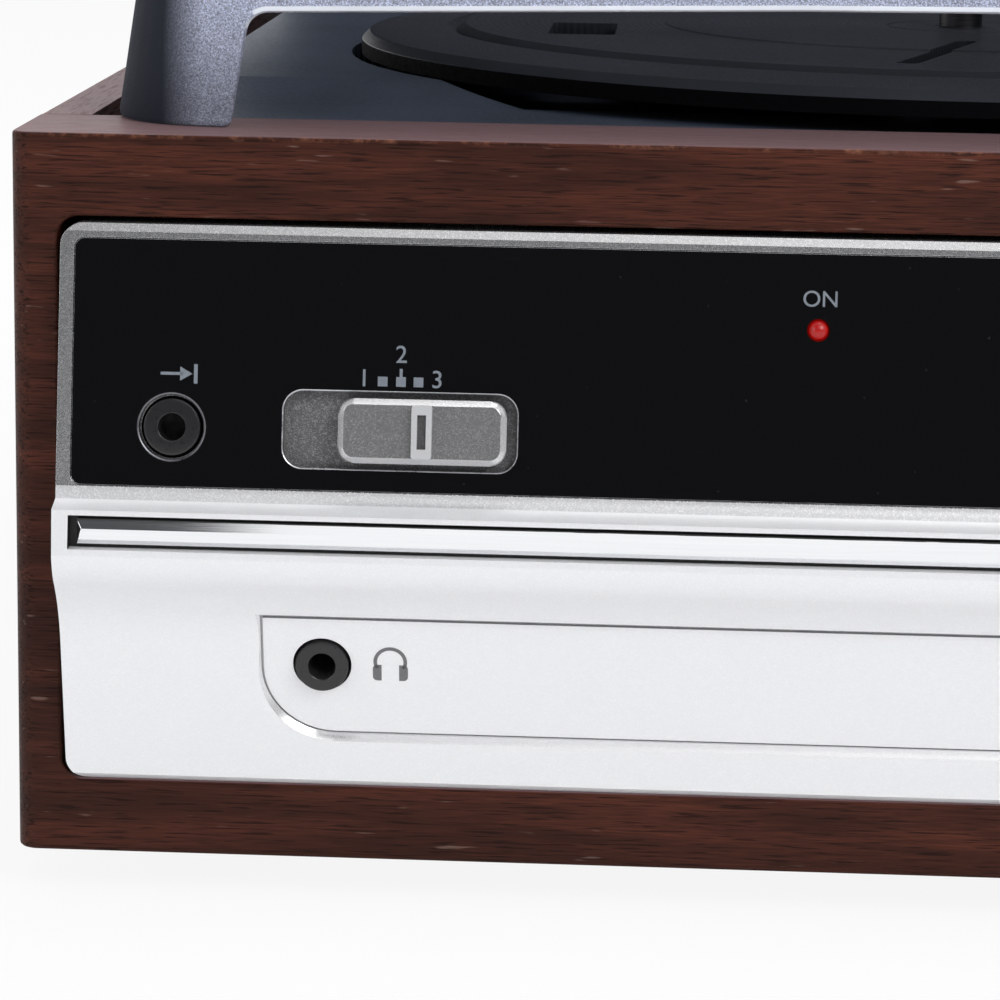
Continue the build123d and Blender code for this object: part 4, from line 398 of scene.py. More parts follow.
def silver_paint(name, share, rough, sparkle, metal, slot_shade_share=0.05):
    """Silver paint with small flakes that catch the light one by one, and painted shade in its slots."""
    colour = darker(bpy.context.scene.fascia_finish.silver, share)
    mat = start_material(name, colour, rough, metal)
    cells = add(mat, "TexVoronoi", {"Vector": placed(mat), "Scale": 7600.0})
    flake = add(mat, "SeparateColor", {0: cells.outputs["Color"]}).outputs[0]
    tone = ramp(flake, [
        (0.0, darker(colour, 1 - 0.4 * sparkle)), (0.7, colour), (1.0, darker(colour, 1 + sparkle)),
    ])
    # Painted shade: the tone goes dark where ambient occlusion finds near walls.
    tone = painted_crevice_shade(tone, darker(colour, slot_shade_share), 0.0012)
    rougher = spread(flake, 0, 1, rough * (1 - 0.2 * sparkle), rough * (1 + 0.25 * sparkle))
    return finish(mat, tone, rougher)


def gloss_black(name):
    """Black gloss plastic with faint fine scratches and a little dust."""
    colour = bpy.context.scene.fascia_finish.black
    mat = start_material(name, colour, 0.1, Specular_IOR_Level=0.3)
    spot = placed(mat)
    dust = mask(noise(spot, 900, 1), 0.0, 0.5, 0.78, 0.84)
    lines = noise(mapped(spot, (60, 700, 900), (0, 0.5, 0)), 1, 2)
    marks = mix(1.0, dust, mask(lines, 0.0, 0.08, 0.74, 0.8), "LIGHTEN")
    return finish(mat, mix(marks, colour, (0.03, 0.03, 0.032)), spread(marks, 0, 1, 0.09, 0.4))


def smoked_plastic(name):
    """Smoked plastic with a sandy sparkle, painted shade round the sides, and painted light that rises
    towards the tops of its openings.

    Lamps reach what its thin tinted wall covers.
    """
    look = bpy.context.scene.lid_finish
    glass = {"Transmission_Weight": 0.3, "IOR": 1.4, "Specular_IOR_Level": 0.2}
    mat = start_material(name, look.smoke, 0.34, **glass)
    spot = placed(mat)
    sand = noise(spot, 1 / look.grain, 3, 0.75)
    speck = ramp(sand, [
        (0.38, darker(look.smoke, 0.45)), (0.52, look.smoke), (0.66, darker(look.smoke, 1.9)),
    ])
    low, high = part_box("lid")
    middle = (low.x + high.x) / 2
    wall = high.x - middle
    x, _, z = axes(placed(mat, centre=(middle, 0, low.z)))
    # Painted shade: near the lid's left and right walls the colour goes to the dark side colour.
    reach = sums("MULTIPLY_ADD", noise(spot, 28, 3), 0.004, sums("ABSOLUTE", x))
    side = spread(reach, wall - 0.0117, wall - 0.0057, 0.0, 1.0)
    # Painted light: the colour brightens upwards to the tops of the openings and dims again above them.
    painted_light_rise = spread(z, 0.004, 0.018, 1.0, 1.95)
    bright = sums("ADD", painted_light_rise, spread(z, 0.02, 0.034, 0.0, -1.2))
    tone = mix(side, mix(1.0, speck, bright, "MULTIPLY"), look.side)
    dull = spread(sand, 0.3, 0.7, 0.26, 0.5)
    shadow = add(mat, "LightPath").outputs["Is Shadow Ray"]
    join(spread(shadow, 0, 1, 1.0, 0.4), shader_of(mat).inputs["Alpha"])
    return finish(mat, tone, sums("MULTIPLY_ADD", side, 0.35, dull), sand, 0.00008)


def painted_rim_highlight(name):
    # Painted highlight: a near-white gloss for the chamfer over the lid's openings.
    look = bpy.context.scene.lid_finish
    mat = start_material(name, look.rim, 0.2, IOR=1.49)
    slow = noise(placed(mat), 60, 2)
    return finish(mat, uneven(slow, look.rim, 0.9, 1.0), spread(slow, 0.3, 0.7, 0.15, 0.3))


def ringed(name, colour, rough, pitch, centre, outer, metal=0.0):
    """Turned or moulded plastic with fine rings about a centre, inside a radius."""
    mat = start_material(name, colour, rough, metal)
    spot = placed(mat, (1, 1, 0), centre=centre)
    length = add(mat, "VectorMath", {0: spot}, operation="LENGTH").outputs["Value"]
    wave = sums("SINE", sums("MULTIPLY", length, 2 * pi / pitch))
    inside = spread(length, outer, outer + 0.001, 1.0, 0.0)
    fine = noise(placed(mat), 2500, 2)
    height = sums("ADD", sums("MULTIPLY", wave, inside), sums("MULTIPLY", fine, 0.6))
    tone = uneven(noise(placed(mat), 30, 3), colour, 0.8, 1.3)
    return finish(mat, tone, spread(fine, 0.3, 0.7, rough * 0.85, rough * 1.2), height, 0.00005)


def clear_plastic(name, colour, rough=0.04, transmission=1.0, **more):
    mat = start_material(name, colour, rough, Transmission_Weight=transmission, IOR=1.49, **more)
    return finish(mat, None, spread(noise(placed(mat), 90, 2), 0.3, 0.7, rough, rough * 2.2))


def printed_ink(name, colour):
    """Screen-printed ink, a little uneven."""
    mat = start_material(name, colour, 0.5)
    return finish(mat, uneven(noise(placed(mat), 1500, 2), colour, 0.85, 1.0, 0.3, 0.6))


def fibre_board(name, colour):
    """Hardboard or laminate with a faint fibre."""
    mat = start_material(name, colour, 0.7)
    fibre = noise(placed(mat, grey(120)), 6, 5, 0.7, 1.0)
    return finish(mat, uneven(fibre, colour, 0.6, 1.25, 0.35, 0.65), None, fibre, 0.00008)


# ---- meshes ----
def new_object(name, data):
    made = bpy.data.objects.new(name, data)
    bpy.context.scene.collection.objects.link(made)
    return made


def finished(bm, name, node, slot, *materials, body="cabinet", sharp=32.0, smooth=True):
    """Makes an object of a bmesh that lies in its place, and tells what it rides on and replaces."""
    mesh = bpy.data.meshes.new(name)
    bm.normal_update()
    for face in bm.faces:
        face.smooth = smooth
    bm.to_mesh(mesh)
    bm.free()
    for material in materials:
        mesh.materials.append(material)
    made = new_object(name, mesh)
    if smooth:
        mesh.set_sharp_from_angle(angle=radians(sharp))
        even = made.modifiers.new("even shading", "WEIGHTED_NORMAL")
        even.weight = 100
        even.keep_sharp = True
    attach(made, body)
    if node:
        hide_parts(node)


def merged_copy(node):
    """A solid's own mesh with its loose triangles merged and its flat faces made whole."""
    bm = bmesh.new()
    bm.from_mesh(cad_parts[node].data)
    bmesh.ops.remove_doubles(bm, verts=bm.verts, dist=2e-6)
    bmesh.ops.dissolve_limit(
        bm, angle_limit=radians(0.5), verts=bm.verts, edges=bm.edges, use_dissolve_boundaries=False
    )
    return bm


def edges_over(bm, angle):
    """The edges that turn by more than an angle."""
    return [edge for edge in bm.edges if edge.calc_face_angle(0) > radians(angle)]


def middle_of(edge):
    return (edge.verts[0].co + edge.verts[1].co) / 2


def faces_of(verts):
    return {face for vert in verts for face in vert.link_faces}


def whole_of(bm):
    return bm.verts[:] + bm.edges[:] + bm.faces[:]


def soften(bm, edges, width, segments=2):
    """Bevels the edges of a list that still stand, and gives the new faces."""
    return bmesh.ops.bevel(
        bm, geom=[edge for edge in edges if edge.is_valid], offset=width, offset_type="OFFSET",
        segments=segments, profile=0.5, affect="EDGES", clamp_overlap=True, material=-1,
    )["faces"]


def softened(node, name, slot, material, width=0.0002, angle=50, segments=2, body="cabinet"):
    """A solid with its sharp edges rounded as moulding leaves them."""
    bm = merged_copy(node)
    soften(bm, edges_over(bm, angle), width, segments)
    finished(bm, name, node, slot, material, body=body)


def dress(material, *nodes):
    """Gives solids that are shown as they are their finish."""
    for node in nodes:
        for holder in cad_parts[node].material_slots:
            holder.material = material


def cuboid(bm, low, high):
    """A box between two corners; gives its vertices."""
    made = bmesh.ops.create_cube(bm, size=1.0)["verts"]
    bmesh.ops.scale(bm, verts=made, vec=high - low)
    bmesh.ops.translate(bm, verts=made, vec=(low + high) / 2)
    return made


def block(bm, low, high):
    """A box between two corners in millimetres; gives its vertices."""
    return cuboid(bm, Vector(low) / 1000, Vector(high) / 1000)


def slab(bm, x0, x1, y0, y1):
    """A printed oblong in millimetres; gives its vertices."""
    return block(bm, (x0, y0, 0), (x1, y1, PRINT_THICK))


def turned(bm, profile, steps=64):
    """Spins (radius, height) points in millimetres about Z, and gives the new vertices."""
    before = set(bm.verts)
    line = [bm.verts.new((radius / 1000, 0, height / 1000)) for radius, height in profile]
    edges = [bm.edges.new(pair) for pair in zip(line, line[1:])]
    bmesh.ops.spin(
        bm, geom=line + edges, cent=(0, 0, 0), axis=(0, 0, 1), dvec=(0, 0, 0),
        angle=2 * pi, steps=steps, use_merge=True,
    )
    bmesh.ops.remove_doubles(bm, verts=[vert for vert in bm.verts if vert not in before], dist=1e-7)
    made = [vert for vert in bm.verts if vert not in before]
    bmesh.ops.recalc_face_normals(bm, faces=list(faces_of(made)))
    return made


# ---- cabinet ----
def make_feet(rubber):
    bm = bmesh.new()
    low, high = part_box("feet")
    for x in (low.x + FOOT_RADIUS, high.x - FOOT_RADIUS):
        for y in (low.y + FOOT_RADIUS, high.y - FOOT_RADIUS):
            foot = turned(bm, [
                (0, -3), (3.2, -3), (3.2, -5.6), (3.6, -6), (9.1, -6), (9.6, -5.6), (10.1, -3.4),
                (10.4, -3.1), (10.5, -2.2), (10.95, -0.3), (10.9, 0), (0, 0),
            ], 48)
            bmesh.ops.translate(bm, verts=foot, vec=(x, y, ORIGIN.z))
    finished(bm, "rubber_feet", "feet", "foot_rubber", rubber)


class MUSIC_OT_cabinet(Operator):
    """Make the walnut boards, the back and the feet"""

    bl_idname = "music_centre.cabinet"
    bl_label = "Cabinet"

    def execute(self, context):
        edge = context.scene.cabinet_finish.edge
        for node, name, finish_name, turn, angle, ends in (
            ("front_board", "walnut_front", "walnut foil along", 0, 50, [(1, 0), (0, 0)]),
            ("side_board_left", "walnut_left", "walnut foil left", 90, 60, [(0, 0), (1, 0)]),
            ("side_board_right", "walnut_right", "walnut foil right", 90, 60, [(0, 1)]),
        ):
            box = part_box(node)
            corners = [(axis, box[end][axis]) for axis, end in ends]
            foil = walnut_foil(finish_name, (0, 0, radians(turn)), box[1].z, corners)
            softened(node, name, "walnut_board", foil, edge, angle, 3)
        dress(fibre_board("hardboard", (0.09, 0.055, 0.035)), "bottom_board", "back_panel")
        make_feet(moulded("foot rubber", grey(0.012), 0.8, depth=0.00005))
        return {"FINISHED"}


# ---- fascia ----
def make_fascia(paints, edge):
    """The silver moulding: its outer rim is round, and its steps and pockets are crisp."""
    bm = merged_copy("fascia")
    low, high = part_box("fascia")
    border_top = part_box("black_panel")[0].z
    bmesh.ops.bisect_plane(bm, geom=whole_of(bm), plane_co=(0, 0, border_top), plane_no=(0, 0, 1))
    steps = []
    rim = []
    for crease in edges_over(bm, 24):
        middle = middle_of(crease)
        at_side = middle.x < low.x + RIM or middle.x > high.x - RIM
        if middle.y < ORIGIN.y + RIM:
            (rim if at_side or middle.z > high.z - RIM else steps).append(crease)
    soften(bm, rim, edge, 4)
    steps = [crease for crease in steps if crease.is_valid and crease.calc_face_angle(0) > radians(35)]
    soften(bm, steps, 0.0001, 1)
    bm.normal_update()
    smooth, painted_slot_shade, pocket, wall, border = range(1, 6)
    to_pocket = on_panel(*SLIDE_SPOT).inverted()
    to_inset = on_inset(0, INSET_TOP).inverted()
    for face in bm.faces:
        spot = face.calc_center_median()
        way = face.normal
        lean = (to_inset.to_3x3() @ way).z
        from_inset = to_inset @ spot
        in_slot = abs(spot.z - STRIP_MIDDLE) < SLOT_REACH and spot.y > low.y + 0.0001
        slot_wall = way.z < -0.3 or abs(way.x) > 0.3
        slot_floor = way.y < -0.5 and spot.y > low.y + SLOT_FLOOR
        # Painted shade: the slot's walls and floor round the strip take a near-black plastic, where the slot
        # lies in shadow.
        if in_slot and (slot_wall or slot_floor):
            face.material_index = painted_slot_shade
        elif within(to_pocket @ spot, *POCKET_BOX):
            face.material_index = pocket
        # The inset's wall takes a brighter copy of the silver paint, a painted highlight where it faces up to
        # the light.
        elif 0.3 < lean < 0.8 and 0 < from_inset.z < 0.0035 and from_inset.y < 0.0005:
            face.material_index = wall
        elif spot.z < RIDGE or (spot.z < RIDGE + LEDGE_RISE and way.z > 0.9):
            face.material_index = smooth
        elif spot.z < border_top and way.y < -0.5:
            face.material_index = border
    finished(bm, "silver_moulding", "fascia", "silver_fascia", *paints, sharp=20)


def make_black_panel(finishes):
    """The gloss panel, with bright arrises round it and its pocket, and a dull one round the line-in hole."""
    bm = merged_copy("black_panel")
    bright, dull = 1, 2
    for index, spot, reach in ((bright, SLIDE_SPOT, 0.0175), (dull, LINE_IN_SPOT, 0.0055)):
        to_face = on_panel(*spot).inverted()
        ring = [
            edge for edge in edges_over(bm, 60)
            if all(abs((to_face @ vert.co).z) < 0.0001 for vert in edge.verts)
            and (to_face @ edge.verts[0].co).length < reach
        ]
        for face in soften(bm, ring, 0.00032, 3):
            face.material_index = index
    low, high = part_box("black_panel")
    border = []
    inner = []
    for edge in edges_over(bm, 60):
        if all(face.material_index == 0 for face in edge.link_faces):
            middle = middle_of(edge)
            margin = min(middle.x - low.x, high.x - middle.x, middle.z - low.z, high.z - middle.z)
            (border if margin < PANEL_BORDER else inner).append(edge)
    for face in soften(bm, border, 0.00016, 1):
        face.material_index = bright
    soften(bm, inner, 0.0001, 1)
    finished(bm, "gloss_panel", "black_panel", "black_panel", *finishes)


def keep_under(bm, spot, way):
    """Cuts a solid by a plane and closes the cut."""
    cut = bmesh.ops.bisect_plane(bm, geom=whole_of(bm), plane_co=spot, plane_no=way, clear_outer=True)
    edges = [part for part in cut["geom_cut"] if isinstance(part, bmesh.types.BMEdge)]
    bmesh.ops.holes_fill(bm, edges=edges)


def make_strip(bright):
    """The bright strip: one facet looks up, the other down, and its ends are mitred."""
    low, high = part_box("chrome_strip")
    crest = Vector(((low.x + high.x) / 2, low.y, (low.z + high.z) / 2 + STRIP_CREST))
    bm = bmesh.new()
    cuboid(bm, low, high)
    for rise in (high.z - crest.z, low.z - crest.z):
        keep_under(bm, crest, Vector((0, -abs(rise), copysign(STRIP_DEEP, rise))))
    for end, sign in ((low.x, -1), (high.x, 1)):
        keep_under(bm, Vector((end, low.y + STRIP_DEEP, crest.z)), Vector((sign, -1, 0)))
    bmesh.ops.recalc_face_normals(bm, faces=bm.faces)
    soften(bm, edges_over(bm, 30), 0.00006, 1)
    finished(bm, "bright_strip", "chrome_strip", "bright_trim", bright, sharp=20)


class MUSIC_OT_fascia(Operator):
    """Make the silver fascia, the gloss panel and the bright strip"""

    bl_idname = "music_centre.fascia"
    bl_label = "Fascia"

    def execute(self, context):
        paints = [
            silver_paint("silver paint", 0.9, 0.26, 0.34, 0.9),
            # A smoother copy of the silver paint for the parts below the ridge, made brighter as a painted
            # reflection of the white floor.
            silver_paint("smooth silver painted lighter", 1.12, 0.42, 0.05, 0.3, 0.4),
            # Painted shade: near-black for the walls and floor of the strip's slot.
            moulded("slot painted shade", (0.012, 0.012, 0.013), 0.4, depth=0.00001),
            silver_paint("pocket paint", 0.27, 0.36, 0.9, 0.5),
            # A brighter copy of the silver paint for the inset's wall: a painted highlight.
            silver_paint("wall painted highlight", 1.15, 0.26, 0.05, 0.85),
            silver_paint("border paint", 0.92, 0.4, 0.24, 0.4, 0.4),
        ]
        make_fascia(paints, context.scene.fascia_finish.edge)
        bright_rim = turned_metal("thin rim", (0.66, 0.67, 0.7), 0.3, grey(900))
        dull_rim = turned_metal("dull rim", (0.2, 0.206, 0.22), 0.34, grey(900))
        make_black_panel([gloss_black("gloss black"), bright_rim, dull_rim])
        make_strip(turned_metal("bright metallised", (0.9, 0.91, 0.93), 0.05, (40, 2000, 2000), 0.02))
        return {"FINISHED"}


# ---- sockets ----
def make_socket(node, name, place, front, lip, upright, finishes):
    """A round socket: a lip that may stand upright, a chamfered bore, a ledge inside and a spring contact."""
    bm = bmesh.new()
    barrel = turned(bm, [
        (0, -13.9), (1.8, -13.9), (1.8, front - 0.5), (1.88, front - 0.08), (1.98, front),
        (lip - 0.45, front), (lip - 0.12, front - 0.12), (lip, front - 0.45), (lip, -5.5), (0, -5.5),
    ])
    for vert in barrel:
        if vert.co.z > -0.001:
            vert.co.z -= vert.co.y * upright
    block(bm, (-4.5, -4.5, -16), (4.5, 4.5, -5.5))
    contact = turned(bm, [(1.8, -7.4), (1.55, -7.5), (1.55, -8.1), (1.8, -8.2)], 48)
    for face in faces_of(contact):
        face.material_index = 1
    bm.transform(place)
    finished(bm, name, node, "socket_black", *finishes)


class MUSIC_OT_sockets(Operator):
    """Make the line-in and headphone sockets"""

    bl_idname = "music_centre.sockets"
    bl_label = "Sockets"

    def execute(self, context):
        finishes = [
            moulded("socket black", (0.017, 0.017, 0.018), 0.3, 0.0008, 0.000006, 0.06),
            turned_metal("socket spring", (0.45, 0.44, 0.42), 0.3, grey(900)),
        ]
        make_socket("aux_socket", "line_in_socket", on_panel(*LINE_IN_SPOT), -0.3, 3.9, 0.0, finishes)
        lean = INSET_SLOPE / 2
        make_socket("headphone_socket", "phones_socket", on_inset(*PHONES_SPOT), 0.75, 3.65, lean, finishes)
        return {"FINISHED"}


# ---- slide switches ----
def make_slide_knob(node, name, place, finishes):
    """A low knob with sloping edges and a raised index frame across it, the slopes and the frame in a painted
    highlight and its window in painted shade.
    """
    bm = merged_copy(node)
    soften(bm, edges_over(bm, 40), 0.00007, 1)
    bm.normal_update()
    slope, window, index = 1, 2, 3
    # Painted light and shade: brighter copies of the knob paint on the slopes and index frame, a darker one
    # in the window.
    to_knob = place.inverted()
    for face in bm.faces:
        spot = to_knob @ face.calc_center_median()
        way = to_knob.to_3x3() @ face.normal
        if way.z > 0.97 and within(spot, *WINDOW_BOX):
            face.material_index = window
        elif abs(spot.x) < 0.0014 and spot.z > 0.0017:
            face.material_index = index
        elif 0.2 < way.z < 0.97 and spot.z > 0.0004:
            face.material_index = slope
    finished(bm, name, node, "silver_knob", *finishes, body=node, sharp=28)


class MUSIC_OT_slide_switches(Operator):
    """Make the knobs and cans of the two slide switches"""

    bl_idname = "music_centre.slide_switches"
    bl_label = "Slide switches"

    def execute(self, context):
        finishes = [
            silver_paint("knob paint", 0.35, 0.36, 0.5, 0.6),
            silver_paint("knob edge painted highlight", 0.78, 0.24, 0.1, 0.8),
            silver_paint("knob window painted shade", 0.14, 0.4, 0.4, 0.3),
            silver_paint("knob index painted highlight", 0.8, 0.3, 0.05, 0.2),
        ]
        function_place = on_panel(SLIDE_SPOT[0] + SLIDE_OFFSET, SLIDE_SPOT[1])
        band_place = on_inset(BAND_SPOT[0] + SLIDE_OFFSET, BAND_SPOT[1])
        make_slide_knob("function_knob", "function_slider", function_place, finishes)
        make_slide_knob("band_knob", "band_slider", band_place, finishes)
        dress(turned_metal("switch can", grey(0.5), 0.35, (900, 900, 60)), "function_switch", "band_switch")
        return {"FINISHED"}


class MUSIC_OT_power_lamp(Operator):
    """Make the power lamp"""

    bl_idname = "music_centre.power_lamp"
    bl_label = "Power lamp"

    def execute(self, context):
        colour = context.scene.fascia_finish.lamp
        glow = {"Emission_Color": (0.9, 0.01, 0.005, 1), "Emission_Strength": 0.1}
        red = clear_plastic("red lamp", colour, 0.18, 0.25, **glow)
        bm = bmesh.new()
        turned(bm, [
            (0, 0.6), (0.35, 0.555), (0.7, 0.41), (1.0, 0.18), (1.25, -0.18), (1.38, -0.6), (1.4, -0.8),
            (1.4, -7.6), (1.65, -7.6), (1.65, -8.0), (0.7, -8.0), (0.7, -16), (0, -16),
        ], 40)
        bm.transform(on_panel(*LAMP_SPOT))
        finished(bm, "red_lamp", "power_light", "red_lamp", red)
        return {"FINISHED"}


# ---- dial and knobs ----
def make_round_knob(node, name, x, stem, finishes):
    """A turned knob: fluted skirt, dished face and a pointer line."""
    bm = bmesh.new()
    turned(bm, [
        (0, 13.35), (9.2, 13.35), (10.6, 13.6), (11.5, 13.95), (12.2, 14.0), (12.75, 13.7), (13, 13.1),
        (13, 11.4), (12.7, 11.2), (12.7, 2.0), (13, 1.8), (13, 0), (3, 0), (3, -stem), (0, -stem),
    ], 96)
    skirt = []
    for face in bm.faces:
        middle = face.calc_center_median()
        if abs(face.normal.z) < 0.1 and 0.003 < middle.z < 0.011 and middle.xy.length > 0.0125:
            skirt.append(face)
    skirt.sort(key=lambda face: atan2(*face.calc_center_median().yx))
    for rib in bmesh.ops.extrude_discrete_faces(bm, faces=skirt[::2])["faces"]:
        away = rib.calc_center_median()
        away.z = 0
        bmesh.ops.translate(bm, verts=rib.verts[:], vec=away.normalized() * 0.00028)
    line = block(bm, (-0.45, 8.4, 13.3), (0.45, 12.2, 14.05))
    for face in faces_of(line):
        face.material_index = 1
    bm.transform(on_panel(x, KNOB_LINE, KNOB_OUT))
    finished(bm, name, node, "silver_knob", *finishes, body=node, sharp=28)


def dial_ticks(bm, y, tall=1.6, count=50, long_every=10):
    """A row of fine upright lines over the dial's span, some of them longer."""
    for step in range(count + 1):
        x = -DIAL_SPAN / 2 + DIAL_SPAN * step / count
        slab(bm, x - 0.12, x + 0.12, y, y + tall * (1.7 if step % long_every == 0 else 1.0))


class MUSIC_OT_dial_and_knobs(Operator):
    """Make the dial, its pointer and the two turning knobs"""

    bl_idname = "music_centre.dial_and_knobs"
    bl_label = "Dial and knobs"

    def execute(self, context):
        silver = darker(context.scene.fascia_finish.silver, 0.9)
        paint = ringed("knob face", silver, 0.3, 0.0004, (0, 0, 0), 9.0, 0.85)
        ink = moulded("pointer line", grey(0.02), 0.5, 0.0005, 0.00001)
        make_round_knob("volume_knob", "volume_turner", 272, 12, [paint, ink])
        make_round_knob("tuning_knob", "tuning_turner", 308, 14, [paint, ink])
        dress(clear_plastic("dial window", (0.92, 0.95, 0.97)), "dial_lens")
        dress(moulded("scale plate", (0.012, 0.014, 0.017), 0.5, 0.0007, 0.00002), "dial_scale")
        dress(moulded("pointer", (0.75, 0.06, 0.02), 0.4, depth=0.00001), "dial_pointer")
        pale = printed_ink("dial ink", (0.75, 0.78, 0.7))
        bm = bmesh.new()
        dial_ticks(bm, 1.2)
        dial_ticks(bm, -4.2)
        slab(bm, -DIAL_SPAN / 2, DIAL_SPAN / 2, -0.6, -0.45)
        bm.transform(on_panel(*DIAL_SPOT, -DIAL_DEEP))
        finished(bm, "dial_lines", None, "dial_print", pale)
        rows = (("high", 5.2, "88 92 96 100 104 108"), ("low", -5.25, "54 60 80 100 120 160"))
        for level, rise, words in rows:
            for step, word in enumerate(words.split()):
                x = DIAL_SPOT[0] - DIAL_SPAN / 2 + DIAL_SPAN * step / 5
                place = on_panel(x, DIAL_SPOT[1], PRINT_THICK - DIAL_DEEP)
                place = place @ Matrix.Translation((0, rise / 1000, 0))
                lettered(f"dial_number_{level}_{step}", word, 1.6, place, pale)
        dress(moulded("control body", (0.02, 0.02, 0.022), 0.5), "volume_control", "tuning_bush")
        white = moulded("white nylon", (0.62, 0.61, 0.56), 0.45, 0.0008)
        dress(white, "tuning_drum", "tuning_capacitor")
        dress(fibre_board("control board", (0.16, 0.1, 0.04)), "control_board")
        return {"FINISHED"}


# ---- marks ----
def printed(bm, name, place, ink):
    """Stands a flat mark at its place."""
    bm.transform(place)
    finished(bm, name, None, "dial_print", ink, smooth=False)


def lettered(name, words, height, place, ink):
    """Plain figures or letters as a thin flat piece."""
    curve = bpy.data.curves.new(name, "FONT")
    curve.body = words
    curve.size = height * 1.38 / 1000
    curve.align_x = "CENTER"
    curve.align_y = "CENTER"
    curve.extrude = 0.000012
    curve.offset = 0.00001
    holder = new_object(name, curve)
    bpy.context.view_layer.update()
    mesh = bpy.data.meshes.new_from_object(holder.evaluated_get(bpy.context.evaluated_depsgraph_get()))
    bpy.data.objects.remove(holder)
    bm = bmesh.new()
    bm.from_mesh(mesh)
    bpy.data.meshes.remove(mesh)
    bmesh.ops.remove_doubles(bm, verts=bm.verts, dist=1e-7)
    printed(bm, name, place, ink)


def make_position_marks(ink):
    """Three small squares over the slide knob, the middle one with a stem."""
    bm = bmesh.new()
    for x in (-2.45, 0.0, 2.35):
        slab(bm, x - 0.65, x + 0.65, -0.65, 0.65)
    slab(bm, -0.2, 0.2, 0.6, 1.75)
    printed(bm, "position_marks", on_panel(SLIDE_SPOT[0], 68.0, MARK_OUT), ink)


def turned_by(bm, verts, degrees):
    bmesh.ops.rotate(bm, verts=verts, cent=(0, 0, 0), matrix=Matrix.Rotation(radians(degrees), 3, "Z"))


def make_phones_mark(ink):
    """A pair of headphones as a small printed picture."""
    bm = bmesh.new()
    section = ((1.8, 0), (2.3, 0), (2.3, PRINT_THICK), (1.8, PRINT_THICK))
    ring = [bm.verts.new((0, y / 1000, z / 1000)) for y, z in section]
    face = bm.faces.new(ring)
    turned_by(bm, ring, -118)
    bmesh.ops.spin(
        bm, geom=[face], cent=(0, 0, 0), axis=(0, 0, 1), angle=radians(236), steps=40, use_merge=False
    )
    for side in (-1, 1):
        cup = slab(bm, side * 1.8 - 0.6, side * 1.8 + 0.6, -2.85, -0.45)
        corners = [
            edge for edge in {edge for vert in cup for edge in vert.link_edges}
            if abs(edge.verts[0].co.z - edge.verts[1].co.z) > 1e-9 and abs(edge.verts[0].co.x) > 0.0018
        ]
        soften(bm, corners, 0.0006, 5)
    bmesh.ops.recalc_face_normals(bm, faces=bm.faces)
    printed(bm, "phones_mark", on_inset(52.2, 29.1, MARK_OUT), ink)


def make_input_mark(ink):
    """A plain arrow that points at a bar, for a line input."""
    bm = bmesh.new()
    slab(bm, -2.6, 0.4, -0.2, 0.2)
    slab(bm, 1.9, 2.4, -1.3, 1.3)
    thick = PRINT_THICK / 1000
    head = bmesh.ops.create_cone(
        bm, cap_ends=True, segments=3, radius1=0.0011, radius2=0.0011, depth=thick
    )["verts"]
    turned_by(bm, head, -90)
    bmesh.ops.translate(bm, verts=head, vec=(0.0006, 0, thick / 2))
    printed(bm, "line_in_mark", on_panel(23.6, 68.4, MARK_OUT), ink)


class MUSIC_OT_marks(Operator):
    """Print the plain marks and figures on the panels"""

    bl_idname = "music_centre.marks"
    bl_label = "Marks"

    def execute(self, context):
        ink = printed_ink("panel ink", context.scene.fascia_finish.print)
        dark = printed_ink("inset ink", (0.17, 0.17, 0.175))
        make_position_marks(ink)
        make_phones_mark(dark)
        make_input_mark(ink)
        for name, words, height, x, z in (
            ("mark_on", "ON", 2.2, 109.0, 80.1), ("mark_one", "1", 2.4, 48.4, 68.3),
            ("mark_two", "2", 2.4, SLIDE_SPOT[0], 71.5), ("mark_three", "3", 2.4, 58.2, 68.3),
        ):
            lettered(name, words, height, on_panel(x, z, FIGURE_OUT), ink)
        for name, words, x in (("mark_band_one", "1", 151.5), ("mark_band_two", "2", 188.5)):
            lettered(name, words, 2.4, on_inset(x, BAND_SPOT[1], FIGURE_OUT), dark)
        return {"FINISHED"}


# ---- record deck ----
def make_deck(plastics):
    """The deck moulding, with painted shade: the well under the platter in a darker copy of the deck plastic.
    """
    bm = merged_copy("deck")
    soften(bm, edges_over(bm, 35), 0.0003)
    for face in bm.faces:
        reach = max((vert.co - PLATTER_CENTRE).xy.length for vert in face.verts)
        depth = PLATTER_CENTRE.z - face.calc_center_median().z
        if reach < WELL_REACH and 0.001 < depth < 0.012 and face.normal.z > -0.5:
            face.material_index = 1
    finished(bm, "deck_moulding", "deck", "deck_plastic", *plastics)


def make_platter(plastics):
    """The platter, with fine rings on top and painted shade on its plain side."""
    bm = merged_copy("platter")
    soften(bm, edges_over(bm, 25), 0.00025)
    bm.normal_update()
    for face in bm.faces:
        reach = (face.calc_center_median() - PLATTER_CENTRE).xy.length
        if face.normal.z < 0.35 and reach > PLATTER_SIDE:
            face.material_index = 1
    finished(bm, "platter_disc", "platter", "platter_plastic", *plastics, body="platter")


